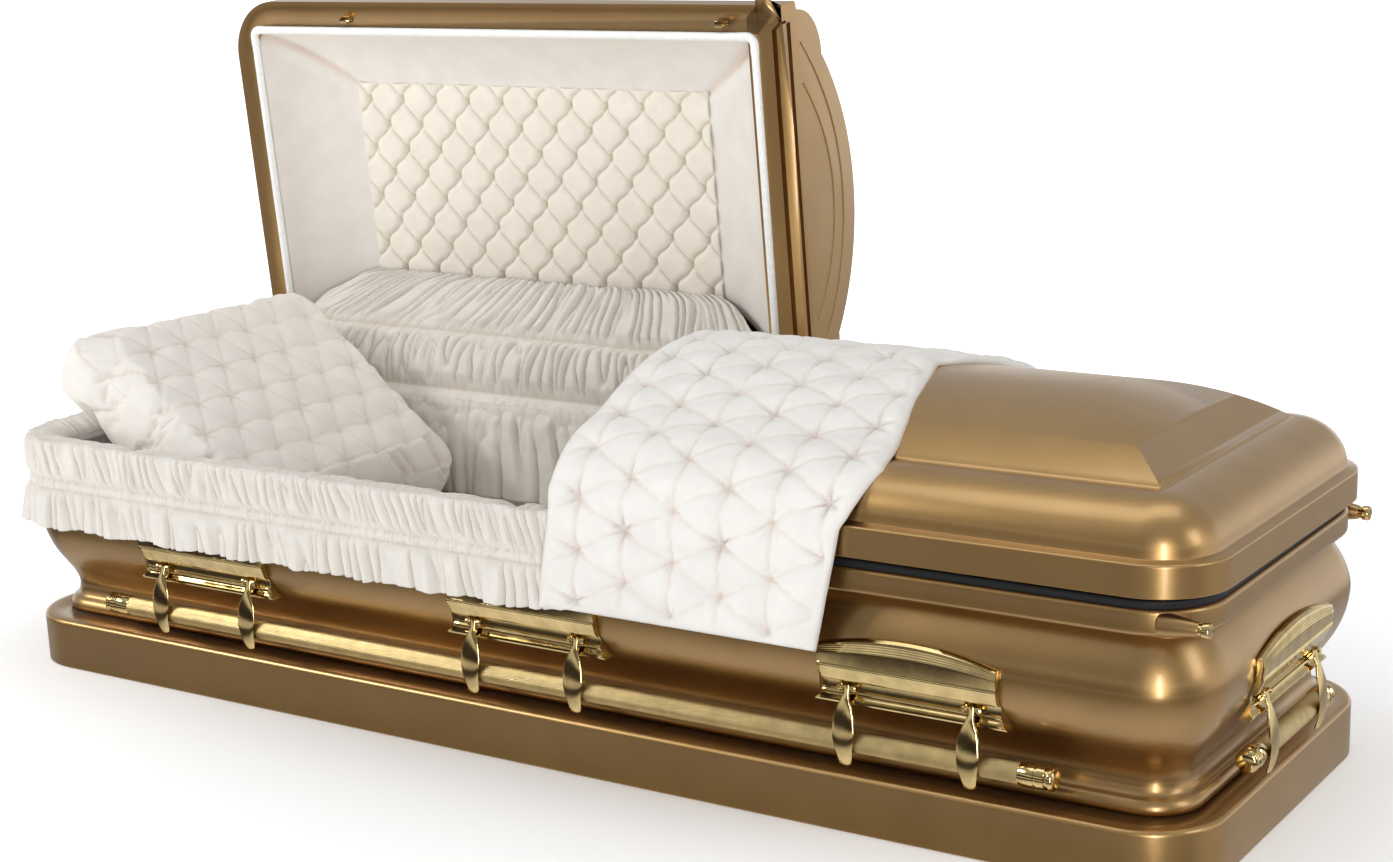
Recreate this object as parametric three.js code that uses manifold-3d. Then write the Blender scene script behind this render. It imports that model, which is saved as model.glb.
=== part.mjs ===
// A half-couch funeral casket, head lid open and foot lid closed, in millimetres.
// X runs along the casket (head end at -X), Y across it (front at -Y), Z up.
// The origin is the middle of the underside of the base moulding.
import * as THREE from "three";
import { mergeVertices } from "three/addons/utils/BufferGeometryUtils.js";
import Module from "manifold-3d";

const wasm = await Module();
wasm.setup();

// Driving dimensions

const SHEET = 1.2;
const GAP = 0.3;
const CORNER_STEPS = 4;

const BASE = { halfLength: 1065, halfWidth: 341, corner: 109, height: 84, edge: 8, flange: 84 };

// The body's ledge is the reference outline; every offset is measured inwards from it.
const LEDGE = { halfLength: 1056, halfWidth: 320, corner: 100, bottom: 335, top: 372, width: 38 };

// Body wall from foot to ledge: [inward offset, height]
const BODY_OUTLINE = [
  [30, BASE.height + GAP],
  [27.5, 90],
  [28, 99],
  [41, 108],
  [45, 122],
  [40, 146],
  [28, 168],
  [11, 195],
  [-1, 223],
  [-6.3, 248],
  [-5, 270],
  [3, 294],
  [15, 316],
  [29, 330],
  [30, LEDGE.bottom],
  [8, LEDGE.bottom],
  [0.5, 345],
  [0.5, 363],
  [8, LEDGE.top],
  [LEDGE.width, LEDGE.top],
  [LEDGE.width, LEDGE.top - 20],
];

const GASKET = { outer: 4, inner: 11, height: 12 };

// The two lids share one outline, cut at the split.
const LID = {
  halfLength: 1065,
  halfWidth: 329,
  corner: 100,
  bottom: 385.5,
  rimHeight: 44,
  stepWidth: 15,
  shoulderHeight: 68,
  panelInset: 99,
  crownRadius: 390,
  top: 579,
  flange: 46,
};
const SPLIT = { headLid: 104, footLid: 107 };
const REBATE = { width: 9.7, depth: 12.3, front: -303, chamfer: 14 };

const HINGE = { y: 352.4, z: 385.5 };
const LID_OPEN = THREE.MathUtils.degToRad(85.3);
const LID_REST = THREE.MathUtils.degToRad(0.35);
const HINGES_HEAD = [-830, -130];
const HINGES_FOOT = [330, 830];
const KNUCKLE = { radius: 6, length: 38, leaf: 2.5, leafWidth: 76 };

const MOULDING = { left: -1025, right: 57, halfWidth: 285, width: 14, depth: 6 };
const COVE = { left: -1010, right: 45, halfWidth: 271, bottom: 387, panel: 465, thickness: 9 };
const TUFT = { left: -855, right: -112, front: -162, back: 185, thickness: 14 };
const CATCH = { places: [-793, -8], y: -298, length: 26, drop: 12 };

const THROW = { left: 109, right: 575, bottom: 256, backBottom: 452, thickness: 12, flare: 24 };
const VALANCE = { right: 100, back: 235, top: 395, drop: 252, cloth: 9, flare: 22 };
const LINING = { offset: 47, thickness: 9, bottom: 150 };
const BED = { offset: 78, bottom: 3, top: 203, corner: 40 };
const PILLOW = { x: -768, y: -2, z: 368, length: 480, width: 500, thickness: 124, tilt: 29 };

const BAR_SHIFT = 6;
const LUG_PLACES = [-634, 6, 646];
const LUG = { length: 262, arms: 94, archRise: 18, archBase: 266, footSpread: 10, flareBelow: 190 };
const PIVOT = { out: 4, z: 204 };
const BAR = {
  out: 2,
  z: 127,
  radius: 15,
  tipRadius: 17,
  sideLength: 1723,
  sideTip: 50,
  endLength: 306,
  endTip: 41,
};
const ARM = { bottom: 95.5 };
const END_TUBE = { radius: 9, y: 303, z: 352, start: 1030, end: 1066, cap: 10, capRadius: 10.5 };

// Colours

const paint = { color: 0x96774b, roughness: 0.35, metalness: 0.6 };
const brass = { color: 0xd9b865, roughness: 0.18, metalness: 1 };
const satinBrass = { color: 0xc9a260, roughness: 0.38, metalness: 1 };
const crepe = { color: 0xece6dc, roughness: 0.9, metalness: 0 };
const velvet = { color: 0xe4dccd, roughness: 0.95, metalness: 0 };
const plastic = { color: 0xf2f2ee, roughness: 0.4, metalness: 0 };
const rubber = { color: 0x14161a, roughness: 0.6, metalness: 0 };

const casket = new THREE.Group();

// Turns a list of corners and triangles into one closed geometry facing outwards
function geometryFrom(points, triangles) {
  let volume = 0;
  for (const [a, b, c] of triangles) {
    const p = points[a];
    const q = points[b];
    const r = points[c];
    volume += p[0] * (q[1] * r[2] - q[2] * r[1]) - p[1] * (q[0] * r[2] - q[2] * r[0]);
    volume += p[2] * (q[0] * r[1] - q[1] * r[0]);
  }
  const faces = volume < 0 ? triangles.map(([a, b, c]) => [a, c, b]) : triangles;
  const geometry = new THREE.BufferGeometry();
  geometry.setAttribute("position", new THREE.Float32BufferAttribute(points.flat(), 3));
  geometry.setIndex(faces.flat());
  return geometry;
}

// A rectangle with rounded corners, anticlockwise, as [x, y] points
function roundedRectangle(x0, x1, y0, y1, radius, steps = CORNER_STEPS) {
  const r = Math.max(radius, 0);
  const centres = [
    [x1 - r, y0 + r, -90],
    [x1 - r, y1 - r, 0],
    [x0 + r, y1 - r, 90],
    [x0 + r, y0 + r, 180],
  ];
  const outline = [];
  for (const [cx, cy, start] of centres) {
    for (let k = 0; k <= steps; k += 1) {
      const angle = THREE.MathUtils.degToRad(start + (90 * k) / steps);
      outline.push([cx + r * Math.cos(angle), cy + r * Math.sin(angle)]);
    }
  }
  return outline;
}

function insetLoop(form, offset, z, steps = CORNER_STEPS) {
  const a = form.halfLength - offset;
  const b = form.halfWidth - offset;
  const radius = Math.max(form.corner - offset, 2);
  return roundedRectangle(-a, a, -b, b, radius, steps).map(([x, y]) => [x, y, z]);
}

// Skins a stack of loops; the ends are capped, or the last loop joins the first
function skin(loops, closed = false) {
  const n = loops[0].length;
  const points = loops.flat();
  const triangles = [];
  const rows = closed ? loops.length : loops.length - 1;
  for (let i = 0; i < rows; i += 1) {
    const here = i * n;
    const next = ((i + 1) % loops.length) * n;
    for (let j = 0; j < n; j += 1) {
      const k = (j + 1) % n;
      triangles.push([here + j, here + k, next + k], [here + j, next + k, next + j]);
    }
  }
  if (!closed) {
    const last = (loops.length - 1) * n;
    const flat = capTriangles(loops[0]);
    const flatEnd = capTriangles(loops[loops.length - 1]);
    for (const [a, b, c] of flat) triangles.push([a, c, b]);
    for (const [a, b, c] of flatEnd) triangles.push([last + a, last + b, last + c]);
  }
  return geometryFrom(points, triangles);
}

// Triangles that fill a flat loop, wound the way the loop is
function capTriangles(loop) {
  const normal = new THREE.Vector3();
  for (let i = 0; i < loop.length; i += 1) {
    const a = new THREE.Vector3(...loop[i]);
    const b = new THREE.Vector3(...loop[(i + 1) % loop.length]);
    normal.add(a.cross(b));
  }
  const size = [Math.abs(normal.x), Math.abs(normal.y), Math.abs(normal.z)];
  const axis = size.indexOf(Math.max(...size));
  const axes = [
    [1, 2],
    [2, 0],
    [0, 1],
  ][axis];
  const flat = loop.map((p) => new THREE.Vector2(p[axes[0]], p[axes[1]]));
  const own = THREE.ShapeUtils.area(flat) > 0;
  const faces = THREE.ShapeUtils.triangulateShape(flat, []);
  return faces.map(([a, b, c]) => {
    const same = THREE.ShapeUtils.area([flat[a], flat[b], flat[c]]) > 0 === own;
    return same ? [a, b, c] : [a, c, b];
  });
}

// Moves an open outline sideways by a distance, keeping its corners square
function offsetOutline(outline, distance) {
  return outline.map((point, i) => {
    const before = outline[Math.max(i - 1, 0)];
    const after = outline[Math.min(i + 1, outline.length - 1)];
    const first = i > 0 ? unitNormal(before, point) : unitNormal(point, after);
    const second = i < outline.length - 1 ? unitNormal(point, after) : first;
    const sum = [first[0] + second[0], first[1] + second[1]];
    const scale = (2 * distance) / (sum[0] * sum[0] + sum[1] * sum[1]);
    return [point[0] + sum[0] * scale, point[1] + sum[1] * scale];
  });
}

function unitNormal(a, b) {
  const dx = b[0] - a[0];
  const dz = b[1] - a[1];
  const length = Math.hypot(dx, dz);
  return [dz / length, -dx / length];
}

function solid(geometry) {
  const bare = new THREE.BufferGeometry();
  bare.setAttribute("position", geometry.getAttribute("position"));
  bare.setIndex(geometry.getIndex());
  const merged = mergeVertices(bare, 1e-4);
  const vertProperties = new Float32Array(merged.getAttribute("position").array);
  const triVerts = new Uint32Array(merged.getIndex().array);
  return new wasm.Manifold(new wasm.Mesh({ numProp: 3, vertProperties, triVerts }));
}

function geometryOf(body) {
  const mesh = body.getMesh();
  const geometry = new THREE.BufferGeometry();
  geometry.setAttribute("position", new THREE.Float32BufferAttribute(mesh.vertProperties, 3));
  geometry.setIndex(Array.from(mesh.triVerts));
  return geometry;
}

function boxSolid(x0, x1, y0, y1, z0, z1) {
  const box = new THREE.BoxGeometry(x1 - x0, y1 - y0, z1 - z0);
  box.translate((x0 + x1) / 2, (y0 + y1) / 2, (z0 + z1) / 2);
  return solid(box);
}

// An upright block with the given outline of [x, y] points
function blockSolid(outline, z0, z1) {
  return solid(skin([outline.map(([x, y]) => [x, y, z0]), outline.map(([x, y]) => [x, y, z1])]));
}

// A bar along X with the given outline of [y, z] points
function runAlongX(outline, x0, x1) {
  return skin([outline.map(([y, z]) => [x0, y, z]), outline.map(([y, z]) => [x1, y, z])]);
}

function runAlongY(outline, y0, y1) {
  return skin([outline.map(([x, z]) => [x, y0, z]), outline.map(([x, z]) => [x, y1, z])]);
}

function add(name, geometry, look, parent = casket) {
  geometry.computeVertexNormals();
  const mesh = new THREE.Mesh(geometry, new THREE.MeshStandardMaterial(look));
  mesh.name = name;
  parent.add(mesh);
  return mesh;
}

// Base and body

function baseMoulding() {
  const round = (steps) => {
    const arc = [];
    for (let k = 0; k <= steps; k += 1) {
      const angle = (Math.PI / 2) * (k / steps);
      const offset = BASE.edge * (1 - Math.cos(angle));
      arc.push([offset, BASE.height - BASE.edge * (1 - Math.sin(angle))]);
    }
    return arc;
  };
  const outside = [[0, 0], ...round(3), [BASE.flange, BASE.height]];
  const inside = offsetOutline(outside, SHEET).slice(1, -1).reverse();
  const under = [[BASE.flange, BASE.height - SHEET], ...inside];
  const loops = outside.map(([offset, z]) => insetLoop(BASE, offset, z));
  const back = under.map(([offset, z]) => insetLoop(BASE, offset, z));
  const floor = insetLoop(BASE, SHEET, SHEET);
  return skin([...loops, ...back, floor]);
}

function bodyShell() {
  const inside = offsetOutline(BODY_OUTLINE, SHEET).reverse();
  const loops = [...BODY_OUTLINE, ...inside].map(([offset, z]) => insetLoop(LEDGE, offset, z));
  return skin(loops, true);
}

function gasket() {
  const bottom = LEDGE.top + GAP;
  const top = bottom + GASKET.height;
  const section = [
    [GASKET.outer + 1, bottom],
    [GASKET.outer, bottom + 4],
    [GASKET.outer + 3, top],
    [GASKET.inner - 3, top],
    [GASKET.inner, bottom],
  ];
  return skin(section.map(([offset, z]) => insetLoop(LEDGE, offset, z)), true);
}

// Lids

function lidOutline() {
  const rimTop = LID.bottom + LID.rimHeight;
  const outline = [
    [0, LID.bottom],
    [0, rimTop - 3],
    [2.5, rimTop],
    [LID.stepWidth - 2, rimTop + 3],
  ];
  const steps = 6;
  const reach = LID.panelInset - 6 - LID.stepWidth;
  for (let k = 0; k <= steps; k += 1) {
    const angle = (Math.PI / 2) * (k / steps);
    const offset = LID.stepWidth + reach * (1 - Math.cos(angle));
    outline.push([offset, rimTop + 4 + LID.shoulderHeight * Math.sin(angle)]);
  }
  return outline;
}

// Height of the crown above a point this far in from the panel's edge
function crownHeight(inset, shrink = 0) {
  const run = LID.halfWidth - LID.panelInset;
  const radius = LID.crownRadius - shrink;
  const across = run - Math.min(inset, run);
  return LID.top - LID.crownRadius + Math.sqrt(radius * radius - across * across);
}

function crownSolid(shrink) {
  const halfWidth = LID.halfWidth - LID.panelInset - shrink;
  const halfLength = LID.halfLength - LID.panelInset - shrink;
  const bottom = LID.bottom + LID.rimHeight + LID.shoulderHeight - 6;
  const steps = 7;
  const rise = [];
  for (let k = 0; k <= steps; k += 1) {
    const inset = halfWidth * (k / steps);
    rise.push([inset, crownHeight(inset + shrink, shrink)]);
  }
  const across = [[-halfWidth, bottom]];
  for (const [inset, z] of rise) across.push([-halfWidth + inset, z]);
  for (const [inset, z] of rise.slice(0, -1).reverse()) across.push([halfWidth - inset, z]);
  across.push([halfWidth, bottom]);
  const along = [[-halfLength, bottom]];
  for (const [inset, z] of rise) along.push([-halfLength + inset, z]);
  for (const [inset, z] of rise.slice().reverse()) along.push([halfLength - inset, z]);
  along.push([halfLength, bottom]);
  const margin = 20;
  const barrel = solid(runAlongX(across, -halfLength, halfLength));
  const ends = solid(runAlongY(along, -halfWidth - margin, halfWidth + margin));
  return barrel.intersect(ends);
}

function fullLid(shrink) {
  const outline = shrink ? offsetOutline(lidOutline(), shrink) : lidOutline();
  outline[0] = [shrink, LID.bottom + shrink];
  const loops = outline.map(([offset, z]) => insetLoop(LID, offset, z));
  return solid(skin(loops)).add(crownSolid(shrink));
}

function keepBetween(body, x0, x1) {
  const reach = LID.halfWidth + 50;
  return body.intersect(boxSolid(x0, x1, -reach, reach, LID.bottom - 20, LID.top + 50));
}

function flangeOpening(x0, x1) {
  const b = LID.halfWidth - LID.flange;
  return blockSolid(roundedRectangle(x0, x1, -b, b, 12, 2), LID.bottom - 5, LID.bottom + 5);
}

// The two rebates along the underside of the head lid's split edge
function rebates(grow) {
  let cut = null;
  for (const step of [1, 2]) {
    const x0 = SPLIT.headLid - REBATE.width * (3 - step) - grow;
    const front = REBATE.front - grow;
    const outline = [
      [x0, front + REBATE.chamfer],
      [x0 + REBATE.chamfer, front],
      [SPLIT.headLid + 5, front],
      [SPLIT.headLid + 5, LID.halfWidth + 5],
      [x0, LID.halfWidth + 5],
    ];
    const block = blockSolid(outline, LID.bottom - 5, LID.bottom + REBATE.depth * step + grow);
    cut = cut ? cut.add(block) : block;
  }
  return cut;
}

function headLidShell() {
  const x1 = SPLIT.headLid;
  const outer = keepBetween(fullLid(0), -LID.halfLength - 5, x1).subtract(rebates(0));
  const inner = keepBetween(fullLid(SHEET), -LID.halfLength - 5, x1 - SHEET).subtract(rebates(SHEET));
  const opening = flangeOpening(-LID.halfLength + LID.flange, x1 - LID.flange);
  return geometryOf(outer.subtract(inner).subtract(opening));
}

function footLidShell() {
  const x0 = SPLIT.footLid;
  const outer = keepBetween(fullLid(0), x0, LID.halfLength + 5);
  const inner = keepBetween(fullLid(SHEET), x0 + SHEET, LID.halfLength + 5);
  const opening = flangeOpening(x0 + LID.flange, LID.halfLength - LID.flange);
  return geometryOf(outer.subtract(inner).subtract(opening));
}

// Lid linings

function linerMoulding() {
  const { left, right, halfWidth, width, depth } = MOULDING;
  const top = LID.bottom - GAP;
  const loop = (inset, z) => {
    const b = halfWidth - inset;
    return roundedRectangle(left + inset, right - inset, -b, b, 20 - inset / 2, 2).map((p) => [...p, z]);
  };
  return skin([loop(0, top), loop(1, top - depth), loop(width - 1, top - depth), loop(width, top)], true);
}

function coveLoop(inset, insetBack, z) {
  const outline = roundedRectangle(
    COVE.left + inset,
    COVE.right - inset,
    -COVE.halfWidth + (inset * (COVE.halfWidth + TUFT.front)) / (TUFT.left - COVE.left),
    COVE.halfWidth - insetBack,
    3,
    1,
  );
  return outline.map((p) => [...p, z]);
}

// The padded cove all round the lid's opening, before its hinge side is parted off
function coveRing() {
  const reach = TUFT.left - COVE.left;
  const back = COVE.halfWidth - TUFT.back;
  const depth = COVE.panel - COVE.bottom;
  const loops = [];
  const steps = 4;
  for (let k = 0; k <= steps; k += 1) {
    const angle = (Math.PI / 2) * (k / steps);
    const inward = 1 - Math.cos(angle);
    loops.push(coveLoop(reach * inward, back * inward, COVE.bottom + depth * Math.sin(angle)));
  }
  for (let k = steps; k >= 0; k -= 1) {
    const angle = (Math.PI / 2) * (k / steps);
    const inward = 1 - Math.cos(angle);
    const z = COVE.bottom + depth * Math.sin(angle) + COVE.thickness * Math.sin(angle);
    const shift = COVE.thickness * Math.cos(angle);
    loops.push(coveLoop(reach * inward - shift, back * inward - shift, z));
  }
  return solid(skin(loops, true));
}

function hingeSideWedge(gap) {
  const far = 60;
  const slopeLeft = (TUFT.left - COVE.left) / (COVE.halfWidth - TUFT.back);
  const slopeRight = (COVE.right - TUFT.right) / (COVE.halfWidth - TUFT.back);
  const reach = COVE.halfWidth - TUFT.back + far;
  const outline = [
    [TUFT.left + gap, TUFT.back + gap - 4],
    [TUFT.right - gap, TUFT.back + gap - 4],
    [TUFT.right - gap + slopeRight * reach, TUFT.back + reach],
    [TUFT.left + gap - slopeLeft * reach, TUFT.back + reach],
  ];
  return blockSolid(outline, COVE.bottom - 20, COVE.panel + 40);
}

function tuftedPanel() {
  const outline = roundedRectangle(TUFT.left + 2, TUFT.right - 2, TUFT.front + 2, TUFT.back - 2, 2, 1);
  const bottom = COVE.panel + COVE.thickness + GAP;
  return geometryOf(blockSolid(outline, bottom, bottom + TUFT.thickness));
}

function footLining() {
  const left = SPLIT.footLid + 8;
  const right = LID.halfLength - LID.flange - 2;
  const half = LID.halfWidth - LID.flange - 2;
  const loop = (inset, z) =>
    roundedRectangle(left + inset, right - inset, -half + inset, half - inset, 12, 2).map((p) => [...p, z]);
  const low = LID.bottom + SHEET + GAP;
  return skin([
    loop(100, COVE.panel),
    loop(12, low + 24),
    loop(10, low),
    loop(1, low),
    loop(1, low + 26),
    loop(92, COVE.panel + COVE.thickness),
  ]);
}

function catchHook(x) {
  const { y, length, drop } = CATCH;
  const top = LID.bottom - GAP;
  const outline = [
    [y - 5, top],
    [y + 5, top],
    [y + 5, top - drop * 0.5],
    [y + 2, top - drop],
    [y - 5, top - drop],
  ];
  return runAlongX(outline, x - length / 2, x + length / 2);
}

// Soft goods

// The lid's cross-section in the Y-Z plane, from front to back, moved out by a distance
function lidSection(distance, frontDrop, backDrop) {
  const front = lidOutline().map(([offset, z]) => [-LID.halfWidth + offset, z]);
  const across = LID.halfWidth - LID.panelInset;
  const steps = 5;
  for (let k = 0; k <= steps; k += 1) {
    const inset = (across * k) / steps;
    front.push([-across + inset, crownHeight(inset)]);
  }
  const back = front.slice(0, -1).reverse().map(([y, z]) => [-y, z]);
  const section = [...front, ...back].filter(([y, z]) => y < 0 || z > backDrop);
  const moved = offsetOutline(section, -distance);
  moved[0][1] = LID.bottom - 6;
  const flare = moved[0][0] - THROW.flare;
  return [[flare, frontDrop], ...moved];
}

function throwCloth() {
  const clear = 1.5;
  const inner = lidSection(clear, THROW.bottom, THROW.backBottom);
  const outer = lidSection(clear + THROW.thickness, THROW.bottom, THROW.backBottom);
  return runAlongX([...inner, ...outer.reverse()], THROW.left, THROW.right);
}

// Stations along the front ledge, round the front corner of the head end and across that end
function valance() {
  const inner = LEDGE.width + 2;
  const under = LEDGE.top + GASKET.height + 2 * GAP;
  const outer = -GASKET.outer;
  const section = [
    [inner, under],
    [outer, under],
    [outer - VALANCE.flare, VALANCE.drop],
    [outer - VALANCE.flare - VALANCE.cloth, VALANCE.drop],
    [outer - VALANCE.cloth, under],
    [outer - VALANCE.cloth + 2, VALANCE.top - 2],
    [outer, VALANCE.top],
    [inner, VALANCE.top],
  ];
  const { halfLength, halfWidth, corner } = LEDGE;
  const station = (x, y, nx, ny) => section.map(([offset, z]) => [x - nx * offset, y - ny * offset, z]);
  const loops = [station(VALANCE.right, -halfWidth, 0, -1)];
  const steps = 6;
  for (let k = 0; k <= steps; k += 1) {
    const angle = THREE.MathUtils.degToRad(-90 - (90 * k) / steps);
    const nx = Math.cos(angle);
    const ny = Math.sin(angle);
    const cx = -halfLength + corner;
    const cy = -halfWidth + corner;
    loops.push(station(cx + corner * nx, cy + corner * ny, nx, ny));
  }
  loops.push(station(-halfLength, VALANCE.back - corner, -1, 0));
  return skin(loops);
}

function bodyLining() {
  const section = [
    [LINING.offset, LINING.bottom],
    [LINING.offset, LEDGE.top],
    [LINING.offset + LINING.thickness, LEDGE.top],
    [LINING.offset + LINING.thickness, LINING.bottom],
  ];
  return skin(section.map(([offset, z]) => insetLoop(LEDGE, offset, z, 3)), true);
}

function bed() {
  const a = LEDGE.halfLength - BED.offset;
  const b = LEDGE.halfWidth - BED.offset;
  return geometryOf(blockSolid(roundedRectangle(-a, a, -b, b, BED.corner, 3), BED.bottom, BED.top));
}

function pillow() {
  const { length, width, thickness } = PILLOW;
  const rings = [
    [0.7, -0.5],
    [0.97, -0.18],
    [1, 0.05],
    [0.93, 0.3],
    [0.62, 0.5],
  ];
  const loops = rings.map(([scale, z]) => {
    const a = (length / 2) * (1 - (1 - scale) * 0.6);
    const b = (width / 2) * (1 - (1 - scale) * 0.6);
    return roundedRectangle(-a, a, -b, b, 40, 2).map((p) => [...p, z * thickness]);
  });
  return skin(loops);
}

// Hinges, at the back

function hingeLeaf(x, onLid) {
  const half = KNUCKLE.leafWidth / 2;
  const sides = 10;
  const first = onLid ? -half : -half + KNUCKLE.length;
  const knuckle = new THREE.CylinderGeometry(KNUCKLE.radius, KNUCKLE.radius, KNUCKLE.length - 2 * GAP, sides);
  knuckle.rotateZ(Math.PI / 2);
  knuckle.translate(x + first + KNUCKLE.length / 2, HINGE.y, HINGE.z);
  const face = onLid ? LID.halfWidth + GAP : LEDGE.halfWidth + GAP;
  const x0 = x + first + GAP;
  const x1 = x + first + KNUCKLE.length - GAP;
  const z0 = onLid ? LID.bottom + 4 : LEDGE.bottom + 14;
  const z1 = onLid ? LID.bottom + 36 : LEDGE.top - 12;
  const plate = boxSolid(x0, x1, face, face + KNUCKLE.leaf, z0, z1);
  const reach = onLid ? HINGE.z + KNUCKLE.radius - 1 : HINGE.z - KNUCKLE.radius + 1;
  const strap = [
    [face, onLid ? z0 + 14 : z1 - 8],
    [face, onLid ? z0 : z1],
    [HINGE.y - 2, reach - (onLid ? 5 : -5)],
    [HINGE.y + 3, reach],
  ];
  const web = solid(runAlongX(strap, x0, x1));
  return geometryOf(solid(knuckle).add(plate).add(web));
}

// Hardware

// Outline of a lug at a given arch height: [distance out from the ledge face, height]
function lugSection(arch) {
  return [
    [6.8, arch],
    [11, arch - 1],
    [16, arch - 7],
    [18, 256],
    [15, 236],
    [16.5, 233],
    [7, 216.5],
    [-0.8, 213],
    [-1, 198],
    [6, 188],
    [6, 181],
    [-12, 181],
    [-10.3, 195],
    [1.5, 223],
    [6.8, 248],
  ];
}

function lugGeometry() {
  const stations = [-1, -0.55, 0, 0.55, 1];
  const loops = stations.map((s) => {
    const arch = LUG.archBase + LUG.archRise * (1 - s * s);
    return lugSection(arch).map(([out, z]) => {
      const spread = z < LUG.flareBelow ? LUG.footSpread : 0;
      return [s * (LUG.length / 2 + spread), -out, z];
    });
  });
  let lug = solid(skin(loops));
  for (const arm of [-LUG.arms, LUG.arms]) {
    for (const side of [-1, 1]) {
      const x = arm + side * 11;
      const out = PIVOT.out + 5;
      lug = lug.add(boxSolid(x - 3.5, x + 3.5, -out, 2, PIVOT.z - 5.5, PIVOT.z + 5.5));
    }
  }
  return geometryOf(lug);
}

// Half-breadth along the bar, and the back and front faces, from eye to toe
const ARM_STATIONS = [
  [PIVOT.z + 4, 4, 1.5, 6.5],
  [PIVOT.z, 6.5, 1.3, 9],
  [190, 6.5, 6.5, 13.5],
  [175, 10, 10, 17],
  [152, 14, 13, 21],
  [128, 13, 17.8, 23],
  [112, 10.5, 14, 20],
  [ARM.bottom, 8.5, 8, 15],
];

function armGeometry() {
  const loops = ARM_STATIONS.map(([z, half, back, front]) => {
    const bevel = half * 0.35;
    return [
      [-half, -back - 0.6, z],
      [-half + bevel, -front, z],
      [half - bevel, -front, z],
      [half, -back - 0.6, z],
      [half * 0.7, -back, z],
      [-half * 0.7, -back, z],
    ];
  });
  return skin(loops);
}

function barGeometry(length, tipLength) {
  const half = length / 2;
  const { radius, tipRadius } = BAR;
  const profile = [
    [0, -half],
    [tipRadius - 3, -half],
    [tipRadius, -half + 5],
    [tipRadius, -half + tipLength],
    [radius, -half + tipLength],
    [radius, half - tipLength],
    [tipRadius, half - tipLength],
    [tipRadius, half - 5],
    [tipRadius - 3, half],
    [0, half],
  ];
  const bar = new THREE.LatheGeometry(
    profile.map(([r, z]) => new THREE.Vector2(r, z)),
    12,
  );
  bar.deleteAttribute("normal");
  bar.deleteAttribute("uv");
  bar.rotateZ(-Math.PI / 2);
  bar.translate(0, -BAR.out, BAR.z);
  return geometryOf(solid(bar));
}

// Puts a side's hardware on a group whose own -Y points out of the casket
function sideGroup(name) {
  const group = new THREE.Group();
  const places = {
    front: [0, BAR_SHIFT, -LEDGE.halfWidth],
    back: [Math.PI, BAR_SHIFT, LEDGE.halfWidth],
    head: [-Math.PI / 2, -LEDGE.halfLength, 0],
    foot: [Math.PI / 2, LEDGE.halfLength, 0],
  };
  const [turn, x, y] = places[name];
  group.rotation.z = turn;
  group.position.set(x, y, 0);
  casket.add(group);
  return group;
}

function handleSet(name, lugPlaces, length, tipLength) {
  const group = sideGroup(name);
  lugPlaces.forEach((place, i) => {
    const label = lugPlaces.length > 1 ? `${name}_lug_${i + 1}` : `${name}_lug`;
    add(label, lugGeometry(), brass, group).position.x = place;
    [-LUG.arms, LUG.arms].forEach((arm, j) => {
      const number = i * 2 + j + 1;
      add(`${name}_arm_${number}`, armGeometry(), brass, group).position.x = place + arm;
    });
  });
  add(`${name}_bar`, barGeometry(length, tipLength), satinBrass, group);
}

function endTube(side) {
  const { radius, y, z, start, end, cap, capRadius } = END_TUBE;
  const profile = [
    [0, start],
    [radius, start],
    [radius, end - cap - 2],
    [radius - 2, end - cap - 2],
    [radius - 2, end - cap],
    [capRadius, end - cap],
    [capRadius, end - 1.5],
    [capRadius - 1.5, end],
    [0, end],
  ];
  const tube = new THREE.LatheGeometry(
    profile.map(([r, x]) => new THREE.Vector2(r, x)),
    12,
  );
  tube.deleteAttribute("normal");
  tube.deleteAttribute("uv");
  tube.rotateZ(-Math.PI / 2);
  tube.translate(0, side * y, z);
  const wall = solid(skin([...Array(2).keys()].map((k) => insetLoop(LEDGE, -GAP, LEDGE.bottom - 60 + 140 * k))));
  return geometryOf(solid(tube).subtract(wall));
}

// Lids turn about the line of the hinges
function lidGroup(angle) {
  const group = new THREE.Group();
  group.position.set(0, HINGE.y, HINGE.z);
  group.rotation.x = -angle;
  const inner = new THREE.Group();
  inner.position.set(0, -HINGE.y, -HINGE.z);
  group.add(inner);
  casket.add(group);
  return inner;
}

add("base_moulding", baseMoulding(), paint);
add("body_shell", bodyShell(), paint);
add("gasket", gasket(), rubber);
add("bed", bed(), crepe);
add("body_lining", bodyLining(), crepe);
add("valance", valance(), crepe);

const pillowMesh = add("pillow", pillow(), velvet);
pillowMesh.position.set(PILLOW.x, PILLOW.y, PILLOW.z);
pillowMesh.rotation.y = THREE.MathUtils.degToRad(PILLOW.tilt);

const headLid = lidGroup(LID_OPEN);
add("head_lid_shell", headLidShell(), paint, headLid);
add("head_lid_moulding", linerMoulding(), plastic, headLid);
const ring = coveRing();
add("head_lid_cove", geometryOf(ring.subtract(hingeSideWedge(0))), velvet, headLid);
add("head_lid_apron", geometryOf(ring.intersect(hingeSideWedge(GAP))), crepe, headLid);
add("head_lid_tufting", tuftedPanel(), velvet, headLid);
CATCH.places.forEach((x, i) => add(`head_lid_catch_${i + 1}`, catchHook(x), brass, headLid));
HINGES_HEAD.forEach((x, i) => add(`head_hinge_${i + 1}_lid_leaf`, hingeLeaf(x, true), brass, headLid));

const footLid = lidGroup(LID_REST);
add("foot_lid_shell", footLidShell(), paint, footLid);
add("foot_lid_lining", footLining(), crepe, footLid);
add("foot_lid_throw", throwCloth(), crepe, footLid);
HINGES_FOOT.forEach((x, i) => add(`foot_hinge_${i + 1}_lid_leaf`, hingeLeaf(x, true), brass, footLid));

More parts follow.
